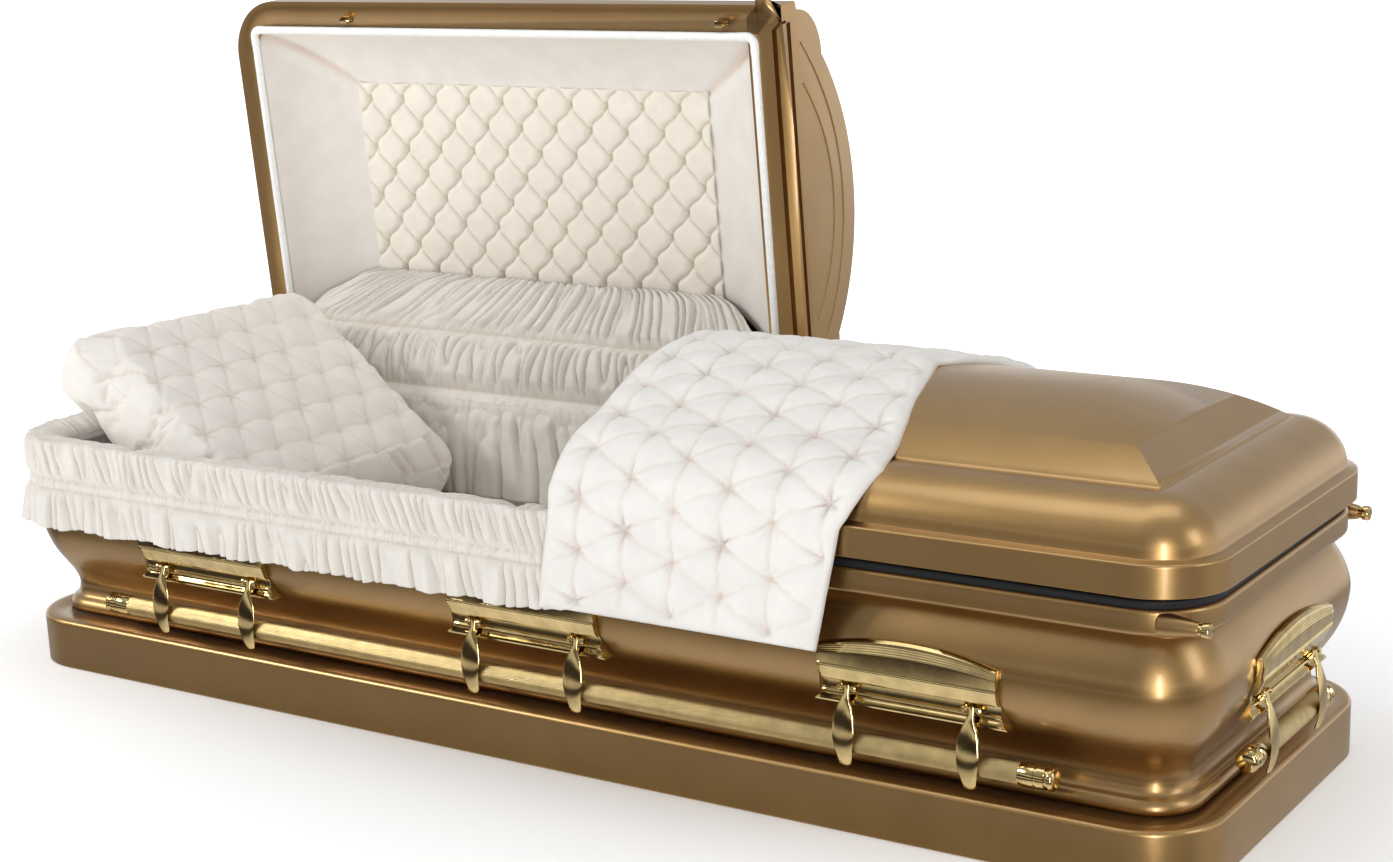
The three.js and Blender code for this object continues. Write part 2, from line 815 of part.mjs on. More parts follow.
HINGES_HEAD.forEach((x, i) => add(`head_hinge_${i + 1}_body_leaf`, hingeLeaf(x, false), brass));
HINGES_FOOT.forEach((x, i) => add(`foot_hinge_${i + 1}_body_leaf`, hingeLeaf(x, false), brass));

handleSet("front", LUG_PLACES, BAR.sideLength, BAR.sideTip);
handleSet("back", LUG_PLACES, BAR.sideLength, BAR.sideTip);
handleSet("head", [0], BAR.endLength, BAR.endTip);
handleSet("foot", [0], BAR.endLength, BAR.endTip);

add("front_end_tube", endTube(-1), brass);
add("back_end_tube", endTube(1), brass);

export default casket;
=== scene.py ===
"""Looks for a half-couch casket: bronze lacquer, plated fittings and padded, gathered and
quilted cloth.

Lengths are in millimetres while a piece is shaped and become metres when it is finished.
"""

import math

import bmesh
import bpy
import numpy as np
from mathutils import Matrix, Vector, noise


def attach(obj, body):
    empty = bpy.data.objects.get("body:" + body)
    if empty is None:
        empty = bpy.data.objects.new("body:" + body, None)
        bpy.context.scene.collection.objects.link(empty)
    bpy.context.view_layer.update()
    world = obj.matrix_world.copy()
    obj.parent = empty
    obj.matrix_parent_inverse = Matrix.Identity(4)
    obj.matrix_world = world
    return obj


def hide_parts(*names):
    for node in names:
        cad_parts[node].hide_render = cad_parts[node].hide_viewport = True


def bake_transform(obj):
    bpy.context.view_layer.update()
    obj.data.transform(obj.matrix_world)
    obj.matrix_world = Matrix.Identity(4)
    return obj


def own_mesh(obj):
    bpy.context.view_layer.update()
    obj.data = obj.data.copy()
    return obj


bl_info = {
    "name": "Half-couch casket",
    "version": (1, 0, 0),
    "blender": (4, 5, 0),
    "location": "View3D > Sidebar > Casket",
    "description": "Builds the finished surfaces of a half-couch casket round its CAD frame",
    "category": "Add Mesh",
}

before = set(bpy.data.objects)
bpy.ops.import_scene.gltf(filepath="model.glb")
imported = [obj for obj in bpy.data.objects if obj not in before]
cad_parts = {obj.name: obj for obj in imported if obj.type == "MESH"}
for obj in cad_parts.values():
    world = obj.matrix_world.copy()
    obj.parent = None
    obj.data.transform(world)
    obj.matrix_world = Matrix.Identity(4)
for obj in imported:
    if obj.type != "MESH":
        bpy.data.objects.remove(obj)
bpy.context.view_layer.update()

MM = 0.001
SEAM = 0.02  # points closer than this, in mm, are one point

LEDGE_LENGTH, LEDGE_WIDTH, LEDGE_CORNER = 1056, 320, 100
LEDGE_BOTTOM, LEDGE_TOP = 335, 372
LID_LENGTH, LID_WIDTH, LID_CORNER = 1065, 329, 100
LID_BOTTOM, RIM_TOP, LID_TOP = 385.5, 429.5, 579
CROWN_RADIUS = 390
HEAD_SPLIT, FOOT_SPLIT = 104, 107


def lid_turn(degrees):
    """The swing of a lid from closed, about the line of the hinges."""
    about = Matrix.Translation((0, 352.4, 385.5))
    return about @ Matrix.Rotation(-math.radians(degrees), 4, "X") @ about.inverted()


HEAD_OPEN = lid_turn(85.3)
FOOT_OPEN = lid_turn(0.35)


# Meshes


def of_kind(items, kind):
    return [item for item in items if isinstance(item, kind)]


def finish_piece(bm, name, body, material, replaces=(), turn=None, crease=35, recalc=True):
    """Closes the seams, brings the mesh to metres and hangs it on its body."""
    bmesh.ops.remove_doubles(bm, verts=bm.verts, dist=SEAM)
    if turn:
        bmesh.ops.transform(bm, matrix=turn, verts=bm.verts)
    if recalc:
        bmesh.ops.recalc_face_normals(bm, faces=bm.faces)
    bmesh.ops.scale(bm, vec=(MM, MM, MM), verts=bm.verts)
    piece = loose_object(bm, name)
    piece.data.shade_smooth()
    if crease:
        piece.data.set_sharp_from_angle(angle=math.radians(crease))
    piece.data.materials.append(material_named(material))
    if body:
        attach(piece, body)
    if replaces:
        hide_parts(*replaces)
    return piece


def loose_object(bm, name):
    mesh = bpy.data.meshes.new(name)
    bm.to_mesh(mesh)
    bm.free()
    made = bpy.data.objects.new(name, mesh)
    bpy.context.scene.collection.objects.link(made)
    return made


def final_mesh(item):
    """The mesh of an object with its modifiers worked in."""
    graph = bpy.context.evaluated_depsgraph_get()
    return bpy.data.meshes.new_from_object(item.evaluated_get(graph))


def thicken(piece, thickness):
    wall = piece.modifiers.new("wall", "SOLIDIFY")
    wall.thickness = thickness * MM
    wall.offset = -1


def edge_chain(bm, points, closed=False):
    """A line of vertices joined by edges, to be swept."""
    verts = [bm.verts.new(p) for p in points]
    edges = [bm.edges.new(pair) for pair in zip(verts, verts[1:])]
    if closed:
        edges.append(bm.edges.new((verts[-1], verts[0])))
    return verts + edges


def fill(bm, edges):
    """Closes a loop of edges with one face."""
    return bmesh.ops.contextual_create(bm, geom=edges)["faces"]


def draw_on(bm, geometry, step, steps=1):
    """Sweeps geometry in a straight line, this far a step, and returns its far end."""
    drawn = bmesh.ops.spin(bm, geom=geometry, axis=(0, 0, 1), dvec=step, angle=0, steps=steps)
    return drawn["geom_last"]


def bend_on(bm, geometry, centre, axis, steps):
    """Sweeps geometry through a quarter turn and returns its far end."""
    bent = bmesh.ops.spin(bm, geom=geometry, cent=centre, axis=axis, angle=math.pi / 2, steps=steps)
    return bent["geom_last"]


def round_off(bm, edges, offset, segments, clamp=False):
    bmesh.ops.bevel(
        bm,
        geom=edges,
        offset=offset,
        segments=segments,
        profile=0.5,
        affect="EDGES",
        material=-1,
        clamp_overlap=clamp,
    )


def upright_edges(bm):
    return [e for e in bm.edges if abs(e.verts[0].co.z - e.verts[1].co.z) > 1]


def sweep_rectangle(bm, profile, length, width, corner, steps=12, closed=False, middle=0):
    """Carries a profile of (inset, height) round a rectangle whose middle is this far along X."""
    chain = [(middle + length - corner, inset - width, height) for inset, height in profile]
    geometry = edge_chain(bm, chain, closed)
    a, b = length - corner, width - corner
    corners = [(a, -b), (a, b), (-a, b), (-a, -b)]
    for i, (x, y) in enumerate(corners):
        bent = bend_on(bm, geometry, (middle + x, y, 0), (0, 0, 1), steps)
        ahead = corners[(i + 1) % 4]
        geometry = draw_on(bm, bent, (ahead[0] - x, ahead[1] - y, 0))
    bmesh.ops.remove_doubles(bm, verts=bm.verts, dist=SEAM)


def flowing(before, start, end, after, t):
    """A number a share t of the way from start to end, on a curve through all four."""
    bend = 2 * before - 5 * start + 4 * end - after
    twist = 3 * start - before - 3 * end + after
    return 0.5 * (2 * start + (end - before) * t + bend * t * t + twist * t * t * t)


def smooth_line(points, steps=4):
    """Rounds a run of key points into a flowing line through all of them."""
    line = []
    for i in range(len(points) - 1):
        before, after = points[max(i - 1, 0)], points[min(i + 2, len(points) - 1)]
        keys = list(zip(before, points[i], points[i + 1], after))
        line += [tuple(flowing(*key, k / steps) for key in keys) for k in range(steps)]
    return line + [tuple(points[-1])]


def arc(cx, cy, radius, start, end, steps):
    """Points on an arc, with angles in degrees."""
    turns = [math.radians(start + (end - start) * k / steps) for k in range(steps + 1)]
    return [(cx + radius * math.cos(t), cy + radius * math.sin(t)) for t in turns]


def turned(bm, profile, sides, place):
    """A turned shape: (along, radius) points spun round the X axis, then put in place."""
    before = set(bm.verts)
    chain = edge_chain(bm, [(along, 0, radius) for along, radius in profile])
    full = 2 * math.pi
    bmesh.ops.spin(bm, geom=chain, axis=(1, 0, 0), angle=full, steps=sides, use_merge=True)
    made = [v for v in bm.verts if v not in before]
    bmesh.ops.remove_doubles(bm, verts=made, dist=SEAM)
    made = [v for v in bm.verts if v not in before]
    bmesh.ops.transform(bm, matrix=place, verts=made)


def cloth_grid(across, along, shape):
    """A sheet of cloth: a grid whose every point (u, v) from 0 to 1 is laid where shape says."""
    bm = bmesh.new()
    half = Matrix.Translation((0.5, 0.5, 0))
    bmesh.ops.create_grid(bm, x_segments=across, y_segments=along, size=0.5, matrix=half)
    for vert in bm.verts:
        vert.co = shape(vert.co.x, vert.co.y)
    return bm


def cut_away(piece, cutter):
    """Takes one closed shape out of another."""
    cut = piece.modifiers.new("cut", "BOOLEAN")
    cut.operation = "DIFFERENCE"
    cut.solver = "MANIFOLD"
    cut.object = cutter
    mesh = final_mesh(piece)
    for waste in (piece, cutter):
        bpy.data.objects.remove(waste)
    return mesh


# Materials


def colour(hex_value):
    """An sRGB hex colour as the linear values that a shader takes."""
    parts = [int(hex_value[i : i + 2], 16) / 255 for i in (1, 3, 5)]
    linear = [c / 12.92 if c <= 0.04045 else ((c + 0.055) / 1.055) ** 2.4 for c in parts]
    return (*linear, 1.0)


def add_node(tree, kind, inputs=None, **settings):
    """Adds a node, with its settings, and its inputs as values or as links from other nodes."""
    node = tree.nodes.new(kind)
    for name, value in settings.items():
        setattr(node, name, value)
    for key, value in (inputs or {}).items():
        if isinstance(value, bpy.types.NodeSocket):
            tree.links.new(value, node.inputs[key])
        else:
            node.inputs[key].default_value = value
    return node


def new_material(name, **values):
    """A material with its shader's plain values set, and the object's own coordinates."""
    material = bpy.data.materials.new(name)
    material.use_nodes = True
    tree = material.node_tree
    shader = tree.nodes["Principled BSDF"]
    for key, value in values.items():
        shader.inputs[key.replace("_", " ")].default_value = value
    place = add_node(tree, "ShaderNodeTexCoord").outputs["Object"]
    return material, tree, shader, place


def pattern(tree, place, size_mm, stretch=(1, 1, 1), detail=2.0, roughness=0.5):
    """Cloudy noise whose blotches are size_mm across, stretched along some axes."""
    squeezed = {"Vector": place, "Scale": tuple(1 / s for s in stretch)}
    mapped = add_node(tree, "ShaderNodeMapping", squeezed).outputs["Vector"]
    cloud = {
        "Vector": mapped,
        "Scale": 1 / (size_mm * MM),
        "Detail": detail,
        "Roughness": roughness,
    }
    return add_node(tree, "ShaderNodeTexNoise", cloud).outputs["Fac"]


def spread(kind, dark=0.92, light=1.08):
    """A user's colour, a little darker and a little lighter, for the two ends of a pattern."""
    chosen = getattr(bpy.context.scene.casket_colours, kind)
    return [(*(min(part * share, 1.0) for part in chosen), 1.0) for share in (dark, light)]


def shade(tree, factor, dark, light):
    """Two linear colours laid over the low and the high parts of a pattern."""
    return ramp(tree, factor, ((0.3, dark), (0.7, light)))


def ramp(tree, factor, stops):
    """Linear colours at stops from 0 to 1."""
    node = add_node(tree, "ShaderNodeValToRGB", {"Fac": factor})
    for _ in stops[2:]:
        node.color_ramp.elements.new(0.5)
    for stop, (position, tone) in zip(node.color_ramp.elements, stops):
        stop.position = position
        stop.color = tone
    return node.outputs["Color"]


def between(tree, factor, low, high):
    """A pattern brought to a range of plain numbers."""
    limits = {"Value": factor, "To Min": low, "To Max": high}
    return add_node(tree, "ShaderNodeMapRange", limits).outputs["Result"]


def relief(tree, factor, height_mm, strength=1.0, over=None):
    """Fine relief of a pattern, on top of another where one is given."""
    inputs = {"Height": factor, "Distance": height_mm * MM, "Strength": strength}
    if over:
        inputs["Normal"] = over
    return add_node(tree, "ShaderNodeBump", inputs).outputs["Normal"]


def wire(tree, shader, **sources):
    """Links patterns to the shader's sockets."""
    for key, source in sources.items():
        tree.links.new(source, shader.inputs[key.replace("_", " ")])


def bronze_lacquer(name, brushed=False):
    """Steel in sprayed metallic lacquer: fine flake under a soft clear coat, so lights
    spread wide and edges stay bright. The body's steel is brushed level first, which draws
    its reflections out along the wall."""
    material, tree, shader, place = new_material(
        name, Metallic=1.0, Coat_Weight=0.6, Coat_Roughness=0.14
    )
    clouds = pattern(tree, place, 90, detail=3)
    flake = pattern(tree, place, 1.4, detail=1)
    both = {"Factor": 0.35, "A": clouds, "B": flake}
    mixed = add_node(tree, "ShaderNodeMix", both, data_type="FLOAT").outputs["Result"]
    # The brushed body's copy is painted about a tenth darker, as painted shade on its upright walls
    tones = spread("lacquer", 0.82, 0.98) if brushed else spread("lacquer")
    grain = relief(tree, flake, 0.04, 0.35)
    if brushed:
        strokes = pattern(tree, place, 3.2, (160, 160, 1), detail=3, roughness=0.65)
        grain = relief(tree, strokes, 0.12, 0.5, grain)
    gloss = between(tree, flake, 0.3, 0.44)
    wire(tree, shader, Base_Color=shade(tree, mixed, *tones), Roughness=gloss, Normal=grain)
    return material


def plated_gold(name, satin=False):
    """Zinc castings polished and plated in brass gold. The rail is drawn tube with a satin
    plating whose drawing lines run lengthwise."""
    material, tree, shader, place = new_material(name, Metallic=1.0)
    clouds = pattern(tree, place, 25, detail=2)
    tone = shade(tree, clouds, *spread("gold", 0.8 if satin else 0.78, 1.05))
    if satin:
        lines = pattern(tree, place, 2.0, (300, 1, 1), detail=2, roughness=0.7)
        gloss, grain = between(tree, lines, 0.26, 0.44), relief(tree, lines, 0.1, 0.5)
    else:
        haze = pattern(tree, place, 12, detail=4)
        gloss, grain = between(tree, haze, 0.06, 0.17), relief(tree, haze, 0.25, 0.25)
    wire(tree, shader, Base_Color=tone, Roughness=gloss, Normal=grain)
    return material


def soft_cloth(name, kind, fold, thread_mm, pile):
    """Crepe is woven with a dry pebbled face; velvet has a short pile that pales at the rim.
    Deep in its folds the cloth is painted darker and warmer: painted shade, warmed as light
    is passed from side to side."""
    material, tree, shader, place = new_material(
        name, Roughness=0.92, Sheen_Weight=pile, Sheen_Roughness=0.45, Specular_IOR_Level=0.2
    )
    shader.inputs["Sheen Tint"].default_value = colour("#fff6ea")
    tone = pattern(tree, place, 45, detail=3)
    weave = pattern(tree, place, thread_mm, detail=2, roughness=0.6)
    crease = pattern(tree, place, 16, (1, 1, 2.2), detail=4, roughness=0.6)
    # Where a point lies deep in a fold, the fold colour is laid on as painted shade
    deep = add_node(tree, "ShaderNodeAttribute", attribute_name="fold").outputs["Fac"]
    tones = {"Factor": deep, 6: shade(tree, tone, *spread(kind, 0.96, 1.04)), 7: colour(fold)}
    tone_and_fold_shade = add_node(tree, "ShaderNodeMix", tones, data_type="RGBA").outputs[2]
    soft = relief(tree, crease, 1.2, 0.22)
    wire(tree, shader, Base_Color=tone_and_fold_shade, Normal=relief(tree, weave, 0.35, 0.4, soft))
    return material


def plain_finish(name, dark, light, low, high, grain_mm):
    """Moulded plastic and rubber, told apart by grain and gloss."""
    material, tree, shader, place = new_material(name)
    grain = pattern(tree, place, grain_mm, detail=3)
    tone = shade(tree, grain, colour(dark), colour(light))
    gloss, dents = between(tree, grain, low, high), relief(tree, grain, 0.08, 0.3)
    wire(tree, shader, Base_Color=tone, Roughness=gloss, Normal=dents)
    return material


def white_sweep(name):
    """Matt white floor, lit from within away from the casket so that it fades out to white."""
    material, tree, shader, place = new_material(name, Roughness=1.0, Specular_IOR_Level=0.0)
    shader.inputs["Emission Color"].default_value = colour("#ffffff")
    tone = shade(tree, pattern(tree, place, 60), colour("#f6f6f6"), colour("#f8f8f8"))
    oval = add_node(tree, "ShaderNodeMapping", {"Vector": place, "Scale": (0.7, 1.0, 1.0)})
    away = add_node(
        tree, "ShaderNodeVectorMath", {0: oval.outputs["Vector"]}, operation="LENGTH"
    ).outputs["Value"]
    fade = {"Value": away, "From Min": 0.35, "From Max": 2.6, "To Min": 0.03, "To Max": 1.0}
    glow = add_node(tree, "ShaderNodeMapRange", fade).outputs["Result"]
    wire(tree, shader, Base_Color=tone, Emission_Strength=glow)
    return material


def lit_white(name):
    """Evenly lit white paper round the stage, with a faint grain."""
    material, tree, shader, place = new_material(name, Roughness=1.0, Emission_Strength=1.0)
    fibres = pattern(tree, place, 900, detail=1)
    wire(tree, shader, Emission_Color=shade(tree, fibres, colour("#fefefe"), colour("#ffffff")))
    return material


# The maker of each material and what it is given after the name
MATERIALS = {
    "bronze_lacquer_smooth": (bronze_lacquer,),
    "bronze_lacquer_brushed": (bronze_lacquer, True),
    "gold_plate_polished": (plated_gold,),
    "gold_plate_satin": (plated_gold, True),
    # For each cloth, the colour after its kind is painted shade, laid in the bottoms of its folds
    # Matt woven crepe, threads about 0.5 mm and drawn at 1.6 mm so that they show
    "crepe_ivory_woven": (soft_cloth, "crepe", "#cdc5b8", 1.6, 0.15),
    "crepe_white_woven": (soft_cloth, "throw", "#e2d5cb", 1.6, 0.15),
    # Cut velvet with a short dense pile, warmer than the crepe
    "velvet_ivory_pile": (soft_cloth, "velvet", "#d3c8b4", 1.1, 0.35),
    "velvet_blush_pile": (soft_cloth, "blush", "#dccfc3", 1.1, 0.35),
    # Extruded PVC trim, bright white with a soft gloss
    "pvc_white_extruded": (plain_finish, "#eceeec", "#f8f9f8", 0.3, 0.45, 9),
    # Moulded EPDM seal, near black and dull
    "epdm_black_moulded": (plain_finish, "#0b0c10", "#1a1c22", 0.5, 0.7, 4),
    # Seamless paper under the casket, matt and very pale
    "paper_white_matt": (white_sweep,),
    # The same paper far behind it, lit so that it shows pure white
    "paper_white_lit": (lit_white,),
}


def material_named(name):
    maker, *details = MATERIALS[name]
    return bpy.data.materials.get(name) or maker(name, *details)


# Painted steel


# Body wall from foot to ledge, as (inset from the ledge's face, height)
WALL_LINE = smooth_line(
    [
        *[(30, 84.4), (27.6, 89), (27.8, 96), (32.5, 103.5), (40.5, 109.5), (44.8, 121)],
        *[(44.2, 136), (37, 153), (28.4, 166), (11, 193), (-1, 222), (-6.3, 250)],
        *[(-5, 270), (3, 293), (15, 314), (26, 328), (30, LEDGE_BOTTOM)],
    ]
)
LEDGE_LINE = [
    *arc(9, 344, 9, 270, 180, 6),
    *arc(6.2, 365.8, 6.2, 180, 90, 6),
    (38, LEDGE_TOP),
    (38, LEDGE_TOP - 20),
]


def crown_height(inset):
    """Height of the crown, this far in from the panel's edge."""
    run = LID_WIDTH - LID_CORNER
    across = run - min(inset, run)
    return LID_TOP - CROWN_RADIUS + math.sqrt(CROWN_RADIUS**2 - across**2)


SHOULDER = [math.pi / 40 * k for k in range(1, 21)]
LID_LINE = [
    (0.6, LID_BOTTOM),
    (0, LID_BOTTOM + 0.8),
    (0, RIM_TOP - 4),
    *arc(3.4, RIM_TOP - 3.4, 3.4, 180, 100, 4),
    (11.5, RIM_TOP + 2.2),
    (14, RIM_TOP + 3.4),
    *[(15 + 78 * (1 - math.cos(t)), RIM_TOP + 4 + 68 * math.sin(t)) for t in SHOULDER],
    (96.2, RIM_TOP + 71.6),
    (97.6, crown_height(0) - 1.4),
    (LID_CORNER, crown_height(0)),
]


def lid_form():
    """The whole lid as one closed form: swept rim and shoulder, and a hipped crown of stepped
    insets."""
    bm = bmesh.new()
    sweep_rectangle(bm, LID_LINE, LID_LENGTH, LID_WIDTH, LID_CORNER, steps=14)
    open_edges = [e for e in bm.edges if e.is_boundary]
    lower = [e for e in open_edges if e.verts[0].co.z < RIM_TOP]
    upper = [e for e in open_edges if e.verts[0].co.z > RIM_TOP]
    fill(bm, lower)
    top = fill(bm, upper)
    run = LID_WIDTH - LID_CORNER
    steps = 26
    for k in range(1, steps + 1):
        inset = run * k / steps if k < steps else run - 0.4
        step = inset - run * (k - 1) / steps
        bmesh.ops.inset_region(bm, faces=top, thickness=step, depth=0, use_even_offset=True)
        for vert in top[0].verts:
            vert.co.z = crown_height(inset)
    bmesh.ops.recalc_face_normals(bm, faces=bm.faces)
    return bm


def halve_lid(bm, split, side):
    """Keeps the lid on one side of its cross cut and closes the cut with an end plate."""
    every = bm.verts[:] + bm.edges[:] + bm.faces[:]
    cut = bmesh.ops.bisect_plane(
        bm, geom=every, plane_co=(split, 0, 0), plane_no=(side, 0, 0), clear_outer=True
    )
    rim = [e for e in of_kind(cut["geom_cut"], bmesh.types.BMEdge) if e.is_boundary]
    plate = fill(bm, rim)
    around = [e for e in plate[0].edges if min(v.co.z for v in e.verts) > LID_BOTTOM + 0.5]
    round_off(bm, around, 1.6, 3, clamp=True)
    bmesh.ops.recalc_face_normals(bm, faces=bm.faces)


def open_underside(bm, flange):
    """Opens the lid's underside, leaving a folded flange all round."""
    bm.normal_update()
    low = [f for f in bm.faces if f.calc_center_median().z < LID_BOTTOM + 1]
    big = max((f for f in low if f.normal.z < -0.99), key=lambda f: f.calc_area())
    bmesh.ops.inset_region(bm, faces=[big], thickness=flange, depth=0, use_even_offset=True)
    bmesh.ops.delete(bm, geom=[big], context="FACES_ONLY")


def rebate_cutter():
    """Two stepped rebates along the underside of the head lid's cut end, mitred at the front."""
    bm = bmesh.new()
    end, front, back, mitre = HEAD_SPLIT + 6, -303, 340, 14
    low = LID_BOTTOM - 6
    for step, width in ((1, 19.4), (2, 9.7)):
        x0, high = HEAD_SPLIT - width, LID_BOTTOM + 12.3 * step
        corner = [(x0, front + mitre), (x0 + mitre, front), (end, front), (end, back), (x0, back)]
        chain = edge_chain(bm, [(x, y, low) for x, y in corner], closed=True)
        face = fill(bm, of_kind(chain, bmesh.types.BMEdge))
        drawn = of_kind(bmesh.ops.extrude_face_region(bm, geom=face)["geom"], bmesh.types.BMVert)
        bmesh.ops.translate(bm, vec=(0, 0, high - low), verts=drawn)
    bmesh.ops.recalc_face_normals(bm, faces=bm.faces)
    return bm


# Half the gap between the two lids is 1.5 mm, so that the beads clear each other
BEAD_PROUD = 1.35


def end_plate_beads(split):
    """Two nested pressed arches on the flat end plate: round rods half sunk in the steel."""
    bm = bmesh.new()
    count, low = 24, 438
    for half, rise in ((262, 104), (196, 74)):
        curve = bpy.data.curves.new("bead", "CURVE")
        curve.dimensions = "3D"
        curve.bevel_depth = BEAD_PROUD
        curve.bevel_resolution = 2
        spline = curve.splines.new("POLY")
        spline.points.add(count)
        for k, point in enumerate(spline.points):
            arch = 1 - abs(2 * k / count - 1) ** 2.1
            point.co = (split, -half + 2 * half * k / count, low + rise * arch, 1)
        holder = bpy.data.objects.new("bead", curve)
        bpy.context.scene.collection.objects.link(holder)
        bm.from_mesh(final_mesh(holder))
        bpy.data.objects.remove(holder)
    return bm


SLEEVE_LINE = [
    *[(1000, 0.5), (1000, 17), (1012, 16.4), (1030, 13.2)],
    *[(1046, 10.6), (1050, 9.4), (1050, 0.5)],
]


def end_tube_place(side):
    """The line of an end tube, which comes out of the ledge at the foot end."""
    return Matrix.Translation((0, side * 303, 352))


# Plated fittings


# Outline of a lug, as (out from the ledge's face, height): its front, then its back
LUG_FACE = [
    *[(6.8, 284), (11.5, 283.2), (15.4, 280), (16.8, 276.6), (16.2, 275), (17.2, 273.4)],
    *[(16.6, 271.6), (17.6, 270), (17.0, 268.2), (18.0, 266.4), (17.4, 264.8), (18.4, 263)],
    *[(18.2, 259), (16.2, 240), (17.4, 238), (17.8, 235.6), (16.6, 233.6), (9.4, 219.4)],
    *[(8.2, 216.4), (6.4, 213.8), (0.2, 212.6), (-0.8, 209), (-0.9, 200), (1.4, 198.6)],
    *[(2.6, 196.4), (1.6, 194), (0.4, 191.6), (2.2, 189.4), (5.6, 187), (6.2, 184)],
    (5.2, 181.6),
]
LUG_BACK = [(-12, 181.6), (-10.2, 195), (1.6, 223), (6.6, 248)]
LUG_HALF = 134.5
PIN = [(-15, 0.2), (-15, 4.2), (-12.5, 5.6), (-9, 5.6), (-7.4, 3.2)]
# (height, half width, back, front) of a swing arm, both from the ledge's face
ARM_LINE = [
    *[(208.5, 4.6, 2.4, 7.6), (204, 6.2, 0.6, 9.4), (197.5, 5.0, 4.4, 10.6)],
    *[(190, 6.6, 7.4, 13.4), (178, 12.4, 10.2, 16.8), (164, 16.1, 12.8, 20.0)],
    *[(148, 17.1, 15.4, 22.2), (134, 16.1, 17.6, 23.0), (120, 13.7, 16.4, 22.2)],
    *[(107, 11.2, 12.8, 19.4), (98, 10.0, 9.6, 16.4), (95.6, 7.6, 9.4, 14.6)],
]
ARM_PLACES = (-94, 94)
HOOK_PLACES = (-793, -8)
RAIL_SIDES, RAIL_FLUTE = 96, 0.55
# Along an end tube's cap and its radius
TUBE_CAP = [
    *[(1044, 0.3), (1044, 8.4), (1055, 8.4), (1055.4, 9.6), (1056.4, 10.5)],
    *[(1064, 10.5), (1065.6, 9.4), (1066, 7.4), (1065, 6.6), (1065, 0.3)],
]
# Tongue of a lid hook, as (y, below the lid)
HOOK_LINE = [
    *[(-303, 0), (-303, 2), (-297, 2.4), (-294.6, 5)],
    *[(-294.8, 8.5), (-297.4, 10.6), (-301, 10.4)],
]


def lug_form():
    """A lug plate standing on the wall at y = 0: its section is drawn along X and arched."""
    bm = bmesh.new()
    section = [(-LUG_HALF, -out, z) for out, z in LUG_FACE + LUG_BACK]
    steps = 28
    draw_on(bm, edge_chain(bm, section, closed=True), (2 * LUG_HALF / steps, 0, 0), steps)
    for x in (-LUG_HALF, LUG_HALF):
        fill(bm, [e for e in bm.edges if e.is_boundary and abs(e.verts[0].co.x - x) < 0.01])
    low = 240
    for vert in bm.verts:
        share = vert.co.x / LUG_HALF
        arch = 284 - 18 * share * share
        if vert.co.z > low:
            vert.co.z = low + (vert.co.z - low) * (arch - low) / 44
        foot = max(0.0, (198 - vert.co.z) / 16)
        vert.co.x *= 1 + 0.085 * min(foot, 1.0) ** 2
        neck = max(0.0, 1 - abs(vert.co.z - 222) / 14)
        vert.co.x *= 1 - 0.022 * neck
    ends = []
    for edge in bm.edges:
        a, b = (v.co.x for v in edge.verts)
        sharp = len(edge.link_faces) == 2 and edge.calc_face_angle() > 1.2
        if sharp and abs(abs(a) - LUG_HALF) < 14 and abs(a - b) < 4:
            ends.append(edge)
    round_off(bm, ends, 0.8, 2, clamp=True)
    pin = PIN + [(-along, radius) for along, radius in reversed(PIN)]
    for arm in ARM_PLACES:
        turned(bm, pin, 20, Matrix.Translation((arm, -4, 204)))
    return bm


def arm_form():
    """A swing arm: a leaf lofted from rings, with an eye round its pin."""
    bm = bmesh.new()
    rings = []
    for z, half, back, front in ARM_LINE:
        centre = Matrix.Translation((0, -(back + front) / 2, z))
        place = centre @ Matrix.Diagonal((half, (front - back) / 2, 1, 1))
        rings.append(bmesh.ops.create_circle(bm, segments=16, radius=1, matrix=place)["verts"])
    for lower, upper in zip(rings, rings[1:]):
        edges = {e for v in lower + upper for e in v.link_edges}
        level = [e for e in edges if abs(e.verts[0].co.z - e.verts[1].co.z) < 0.01]
        bmesh.ops.bridge_loops(bm, edges=level)
    for ring in (rings[0], rings[-1]):
        fill(bm, [e for e in {e for v in ring for e in v.link_edges} if e.is_boundary])
    return bm


def rail_form(length, tip, radius):
    """The carrying rail, a finely fluted tube."""
    bm = bmesh.new()
    place = Matrix.Translation((tip - length / 2, 0, 0)) @ Matrix.Rotation(math.pi / 2, 4, "Y")
    start = bmesh.ops.create_circle(bm, segments=RAIL_SIDES, radius=radius, matrix=place)["verts"]
    for vert in start[1::2]:
        vert.co.y *= 1 - RAIL_FLUTE / radius
        vert.co.z *= 1 - RAIL_FLUTE / radius
    edges = list({e for v in start for e in v.link_edges})
    draw_on(bm, start + edges, (length - 2 * tip, 0, 0))
    return bm


def rail_caps(length, tip, radius):
    """A stepped, turned cap at each end of a rail."""
    bm = bmesh.new()
    middle = tip * 0.5
    # (along, more than the rail's radius)
    steps = [
        *[(0, -5), (1.5, -1), (4, 1.2), (7, 1.6), (9, 0.8), (10, -1.2), (13, -1.2), (14, 1.2)],
        *[(middle, 1.9), (middle + 1, 0.2), (middle + 3, 0.2), (middle + 4, 1.8)],
        *[(tip - 3, 1.8), (tip - 1, 0.6), (tip + 1.5, 0.4)],
    ]
    profile = [(0, 0.3), *[(along, radius + more) for along, more in steps], (tip + 1.5, 0.3)]
    for turn in (0, math.pi):
        place = Matrix.Rotation(turn, 4, "Z") @ Matrix.Translation((-length / 2, 0, 0))
        turned(bm, profile, 40, place)
    return bm


def rail_place(x, y, degrees):
    """A side's own frame, whose -Y points out of the casket."""
    return Matrix.Translation((x, y, 0)) @ Matrix.Rotation(math.radians(degrees), 4, "Z")


